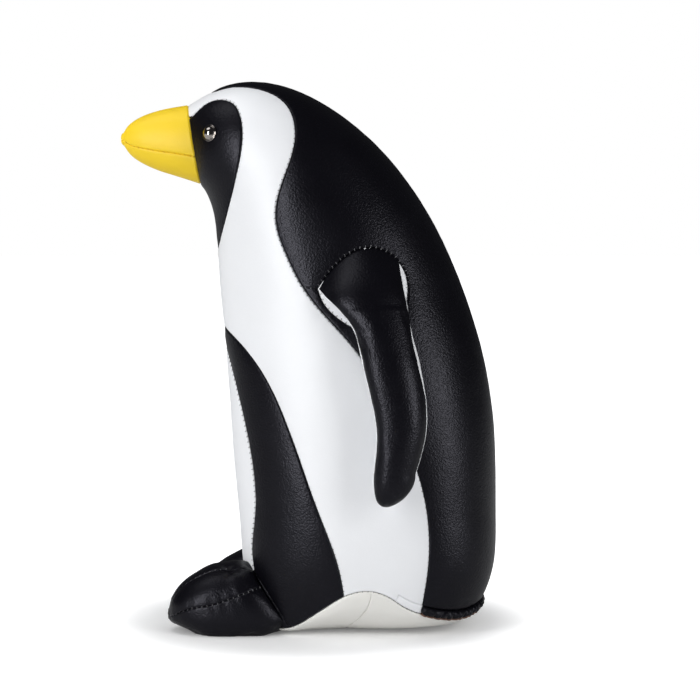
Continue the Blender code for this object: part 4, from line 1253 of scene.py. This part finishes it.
def foot_point(along, angle):
    """A point of the left foot, from its toe (0) to its ankle (1), and round from its outer side (angle 0)."""
    y = TOE_Y + 48 * along
    for _ in range(12):
        low, top, half_width = foot_slice(y)
        square = 2.15 if angle > 0 and angle < math.pi else 3.0
        z = (low + top) / 2 + (top - low) / 2 * power(np.sin(angle), 2 / square)
        ankle_y = np.interp(z, [3.2, 25.0], [ANKLE_BOTTOM[0], ANKLE_TOP[0]])
        y = TOE_Y + (ankle_y - TOE_Y) * along
    x = FOOT_X + half_width * power(np.cos(angle), 2 / square)
    outer = np.clip((np.cos(angle) + 0.12) / 0.24, 0, 1)
    share = (angle + math.pi / 2) / math.pi if angle < math.pi / 2 else (1.5 * math.pi - angle) / math.pi
    seam = np.array([np.interp(1 - share, np.linspace(0, 1, len(ankle_places)), ankle_places[:, i])
                     for i in range(3)])
    inside = np.array([2 * FOOT_X - seam[0] + 3, -8, seam[2]])
    goal = inside + (seam - inside) * outer
    pull = np.clip((along - 0.70) / 0.30, 0, 1) ** 2.4
    point = np.array([x, y, max(z, 0.0)])
    return point + (goal - point) * pull


side_seam_line = smooth(FOOT_SIDE_SEAM, 60)


def side_seam_angle(along):
    """The angle at which the ring crosses the side seam, which is the same on its outer and inner side."""
    angles = np.linspace(-1.2, 1.2, 80)
    ring = np.array([foot_point(along, a) for a in angles])
    gap = ring[:, 2] - np.interp(ring[:, 1], side_seam_line[:, 0], side_seam_line[:, 1])
    return float(np.interp(0, gap, angles))


TOP = math.radians(66)
around_foot = crowded(-math.pi / 2, 1.5 * math.pi, 0.075, (0.0, TOP, math.pi), 17.0)
along_foot = crowded(0, 1, 0.026, [1.0], 40.0)
foot_rows = []
for s in along_foot:
    crossing = side_seam_angle(s)
    # The columns lean so that the two side columns follow the side seam.
    stops = np.interp(around_foot, [-math.pi / 2, 0, TOP, math.pi, 1.5 * math.pi],
                      [-math.pi / 2, crossing, TOP, math.pi - crossing, 1.5 * math.pi])
    foot_rows.append([foot_point(s, a) for a in stops])
foot_rows = np.array(foot_rows)
toe = foot_rows[0].mean(0)
caps = [toe + (foot_rows[0] - toe) * math.cos(b) + (0, -0.5 * math.sin(b), 0)
        for b in np.radians([84, 70, 52, 34, 16])]
foot_grid = np.concatenate([caps, foot_rows])[:, :-1] * MM
ANKLE_ROWS = 4
foot_grid = stuffed(foot_grid, set(range(len(foot_grid) - ANKLE_ROWS, len(foot_grid))), most=MOST_SWELL)
foot_columns = {name: int(np.argmin(np.abs(around_foot - a))) for name, a in (("outer", 0), ("top", TOP),
                                                                              ("inner", math.pi))}
foot_out = grid_normals(foot_grid, wrapped=True)
foot_out *= np.sign((foot_out[20] * (foot_grid[20] - foot_grid[20].mean(0))).sum())
top_line = foot_grid[:, foot_columns["top"]]
top_line = top_line[top_line[:, 1] < PINCH_Y * MM]
foot_seams = [(foot_grid[:, foot_columns["outer"]], 0.7), (foot_grid[:, foot_columns["inner"]], 0.7),
              (top_line, 0.6)]
foot_sewn = sewn_grid(foot_grid, foot_out, foot_seams, 80.0, 0.45 * MM)
print("foot points:", foot_grid.shape, "pinch near", (top_line[-1] / MM).round(1))

# %% Pucker it and press the sole flat
pinch = top_line[-1]
gap = np.linalg.norm(foot_grid - pinch, axis=2)
radial = np.arctan2(foot_grid[..., 1] - pinch[1], foot_grid[..., 0] - pinch[0])
dimple = 1.5 * MM * np.exp(-((gap / (3.0 * MM)) ** 2))
rays = 0.30 * MM * np.cos(5 * radial + 0.6) * np.exp(-((gap / (6.5 * MM)) ** 2))
rays *= np.minimum(1, gap / (2 * MM))
side_distance, side_along = distance_to(foot_grid[3:, foot_columns["outer"]], foot_grid.reshape(-1, 3))
side_distance, side_along = side_distance.reshape(gap.shape), side_along.reshape(gap.shape)
folds = np.sin(side_along / (2.1 * MM) * math.pi + 1.5 * np.sin(side_along / (9 * MM)))
pucker = 0.16 * MM * folds * np.exp(-side_distance / (2.4 * MM)) * np.minimum(1, side_distance / (0.6 * MM))
foot_sewn = foot_sewn - foot_out * (dimple + rays + pucker)[..., None]
last = np.clip((along_foot - 0.93) / 0.07, 0, 1)
tuck = np.concatenate([np.zeros(len(caps)), last])
foot_sewn -= foot_out * (0.9 * MM * tuck**2)[:, None, None]
foot_sewn[..., 2] = np.maximum(foot_sewn[..., 2], 0.0)

# The right foot is sewn on further back than the left one.
FAR_FOOT_BACK = np.array([0, 11.0, 0]) * MM
width = foot_grid.shape[1]


FOOT_PIECES = (
    ("foot_upper_outer", foot_columns["outer"], foot_columns["top"]),
    ("foot_upper_inner", foot_columns["top"], foot_columns["inner"]),
    ("foot_sole", foot_columns["inner"], foot_columns["outer"] + width),
)
for name, first, last_column in FOOT_PIECES:
    points, normals, quads = band(foot_sewn, foot_out, first, last_column, width)
    points, faces = thick(points, normals, facing_out(points, normals, quads))
    for side, (p, f) in (("left", (points, faces)), ("right", mirrored(points + FAR_FOOT_BACK, faces))):
        pad = make_piece(f"{name}_{side}_sewn", p, f, BLACK)
        flip_x = 1 if side == "left" else -1
        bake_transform(pad)
        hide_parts(f"{name}_{side}", *([f"foot_filling_{side}"] if name == "foot_sole" else []))

# %% [markdown]
# ## Stitches
# The thread shows as short bars across each seam, where the pull of the stuffing opens it a little. Each
# stitch is its own thin rounded bar, bent down into the seam, laid in the valley between the two rolled edges.
# Black thread is used on the body, and it shows on the white side as a fine row of ticks.

# %% Lay a row of stitches
STITCH_SIDES = 6


def stitch_row(name, line, across, out, thread, reach=(-0.35, 0.55), radius=0.12, lift=0.10, slant=0.25,
               pitch=PITCH, strength=1.0, seed=0):
    """Rounded bars of thread across a seam, from its points, side directions and outward directions."""
    length = np.concatenate([[0], np.cumsum(np.linalg.norm(np.diff(line, axis=0), axis=1))])
    tangent = np.gradient(line, axis=0)
    tangent /= np.maximum(np.linalg.norm(tangent, axis=1, keepdims=True), 1e-12)
    points, faces = [], []
    jitter = np.random.default_rng(seed)
    for stop in np.arange(pitch * 0.6, length[-1] - pitch * 0.3, pitch):
        at, side, up, on = (np.array([np.interp(stop, length, v[:, i]) for i in range(3)])
                            for v in (line, across, out, tangent))
        wobble = jitter.normal(0, 0.05, 3)
        spine, sizes = [], []
        for share in (0, 0.12, 0.3, 0.5, 0.7, 0.88, 1):
            offset = (reach[0] + wobble[0] + (reach[1] - reach[0]) * share) * MM
            fall = sink(np.array([abs(offset)]), np.array([0.0]), strength)[0] * 0.8
            spine.append(at + side * offset + up * (lift * MM - min(fall, 0.55 * MM))
                         + on * (slant + wobble[1]) * offset)
            sizes.append(radius * MM * (0.35 if share in (0, 1) else 1.0))
        spine = np.array(spine)
        first = len(points)
        for centre, size in zip(spine, sizes):
            for turn in np.linspace(0, 2 * math.pi, STITCH_SIDES, endpoint=False):
                points.append(centre + size * (up * math.cos(turn) + on * math.sin(turn)))
        rows = len(spine)
        faces += grid_faces(rows, STITCH_SIDES, wrapped=True, first=first).tolist()
        faces += [list(range(first, first + STITCH_SIDES))[::-1],
                  list(range(first + (rows - 1) * STITCH_SIDES, first + rows * STITCH_SIDES))]
    return make_piece(name, points, faces, thread)


def body_stitches(name, toward, thread=BLACK_THREAD, slot="black_leather", part=slice(None), **shape):
    """Stitches along a body seam on both sides, reaching further towards a side-view direction."""
    at = SEAMS[name][part]
    line = body_point(at)
    across, out = beside(body_point, at), normals_of(body_point, np.clip(at, [0.002, 0.002], [0.998, 3.139]))
    line = line - out * 1.6 * crown_drop(line)[:, None]
    side = np.array([0, *toward])
    across *= np.sign((across * side).sum(1, keepdims=True) + 1e-9)
    for flip_x, hand in ((1, "left"), (-1, "right")):
        row = stitch_row(f"stitches_{name}_{hand}", line * (flip_x, 1, 1), across * (flip_x, 1, 1),
                         out * (flip_x, 1, 1), thread, seed=len(at), **shape)
        own(row, "body", slot)


body_stitches("crown", (-1, -0.3))
body_stitches("face", (0.7, 1))
body_stitches("leg_back", (1, 0.6))
body_stitches("leg_front", (-1, -0.3))
body_stitches("base", (0, 1), GREY_THREAD, "cream_leather", reach=(-0.4, 0.4), radius=0.11)
body_stitches("armhole", (0, 1), GREY_THREAD, reach=(-0.1, 0.9), radius=0.14)
body_stitches("dart", (0.6, 1), GREY_THREAD, reach=(-0.4, 0.4), radius=0.12)

# %% Stitch the beak, the wings and the feet


def piece_stitches(name, grid, out, column, rows, thread, body, slot, **shape):
    """Stitches down one column of a wrapped grid; body is the kind of body that it belongs to."""
    line, up = grid[rows, column], out[rows, column]
    across = grid[rows, (column + 1) % grid.shape[1]] - grid[rows, column - 1]
    across /= np.linalg.norm(across, axis=1, keepdims=True)
    at = np.concatenate([[0], np.cumsum(np.linalg.norm(np.diff(line, axis=0), axis=1))])
    made = []
    for flip_x, hand in ((1, "left"), (-1, "right")):
        flip = (flip_x, 1, 1)
        moved = FAR_FOOT_BACK if body == "foot" and flip_x < 0 else 0
        row = stitch_row(f"stitches_{name}_{hand}", line * flip + moved, across * flip, up * flip, thread,
                         seed=len(line), **shape)
        made.append((row, flip_x, hand))
    return made


for row, _, _ in piece_stitches("beak_side", beak_grid, beak_out, columns[0], slice(3, -3), GOLD_THREAD,
                                "body", "yellow_leather", reach=(-0.3, 0.3), radius=0.12, slant=1.2):
    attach(row, "body")
for index, edge in enumerate(("rear", "front")):
    for row, flip_x, hand in piece_stitches(f"wing_{edge}", wing_grid, wing_out, wing_columns[index],
                                            slice(6, -3), WHITE_THREAD, "wing", "white_leather",
                                            reach=(-0.3, 0.3), radius=0.11):
        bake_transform(row)
for seam, rows in (("outer", slice(5, -2)), ("inner", slice(5, -2)), ("top", slice(5, 1 + len(top_line)))):
    for row, flip_x, hand in piece_stitches(f"foot_{seam}", foot_grid, foot_out, foot_columns[seam], rows,
                                            GREY_THREAD, "foot", "black_leather", reach=(-0.4, 0.4),
                                            radius=0.12):
        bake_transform(row)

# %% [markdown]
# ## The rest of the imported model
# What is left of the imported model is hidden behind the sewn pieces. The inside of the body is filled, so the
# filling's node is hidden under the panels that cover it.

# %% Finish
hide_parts("body_filling")
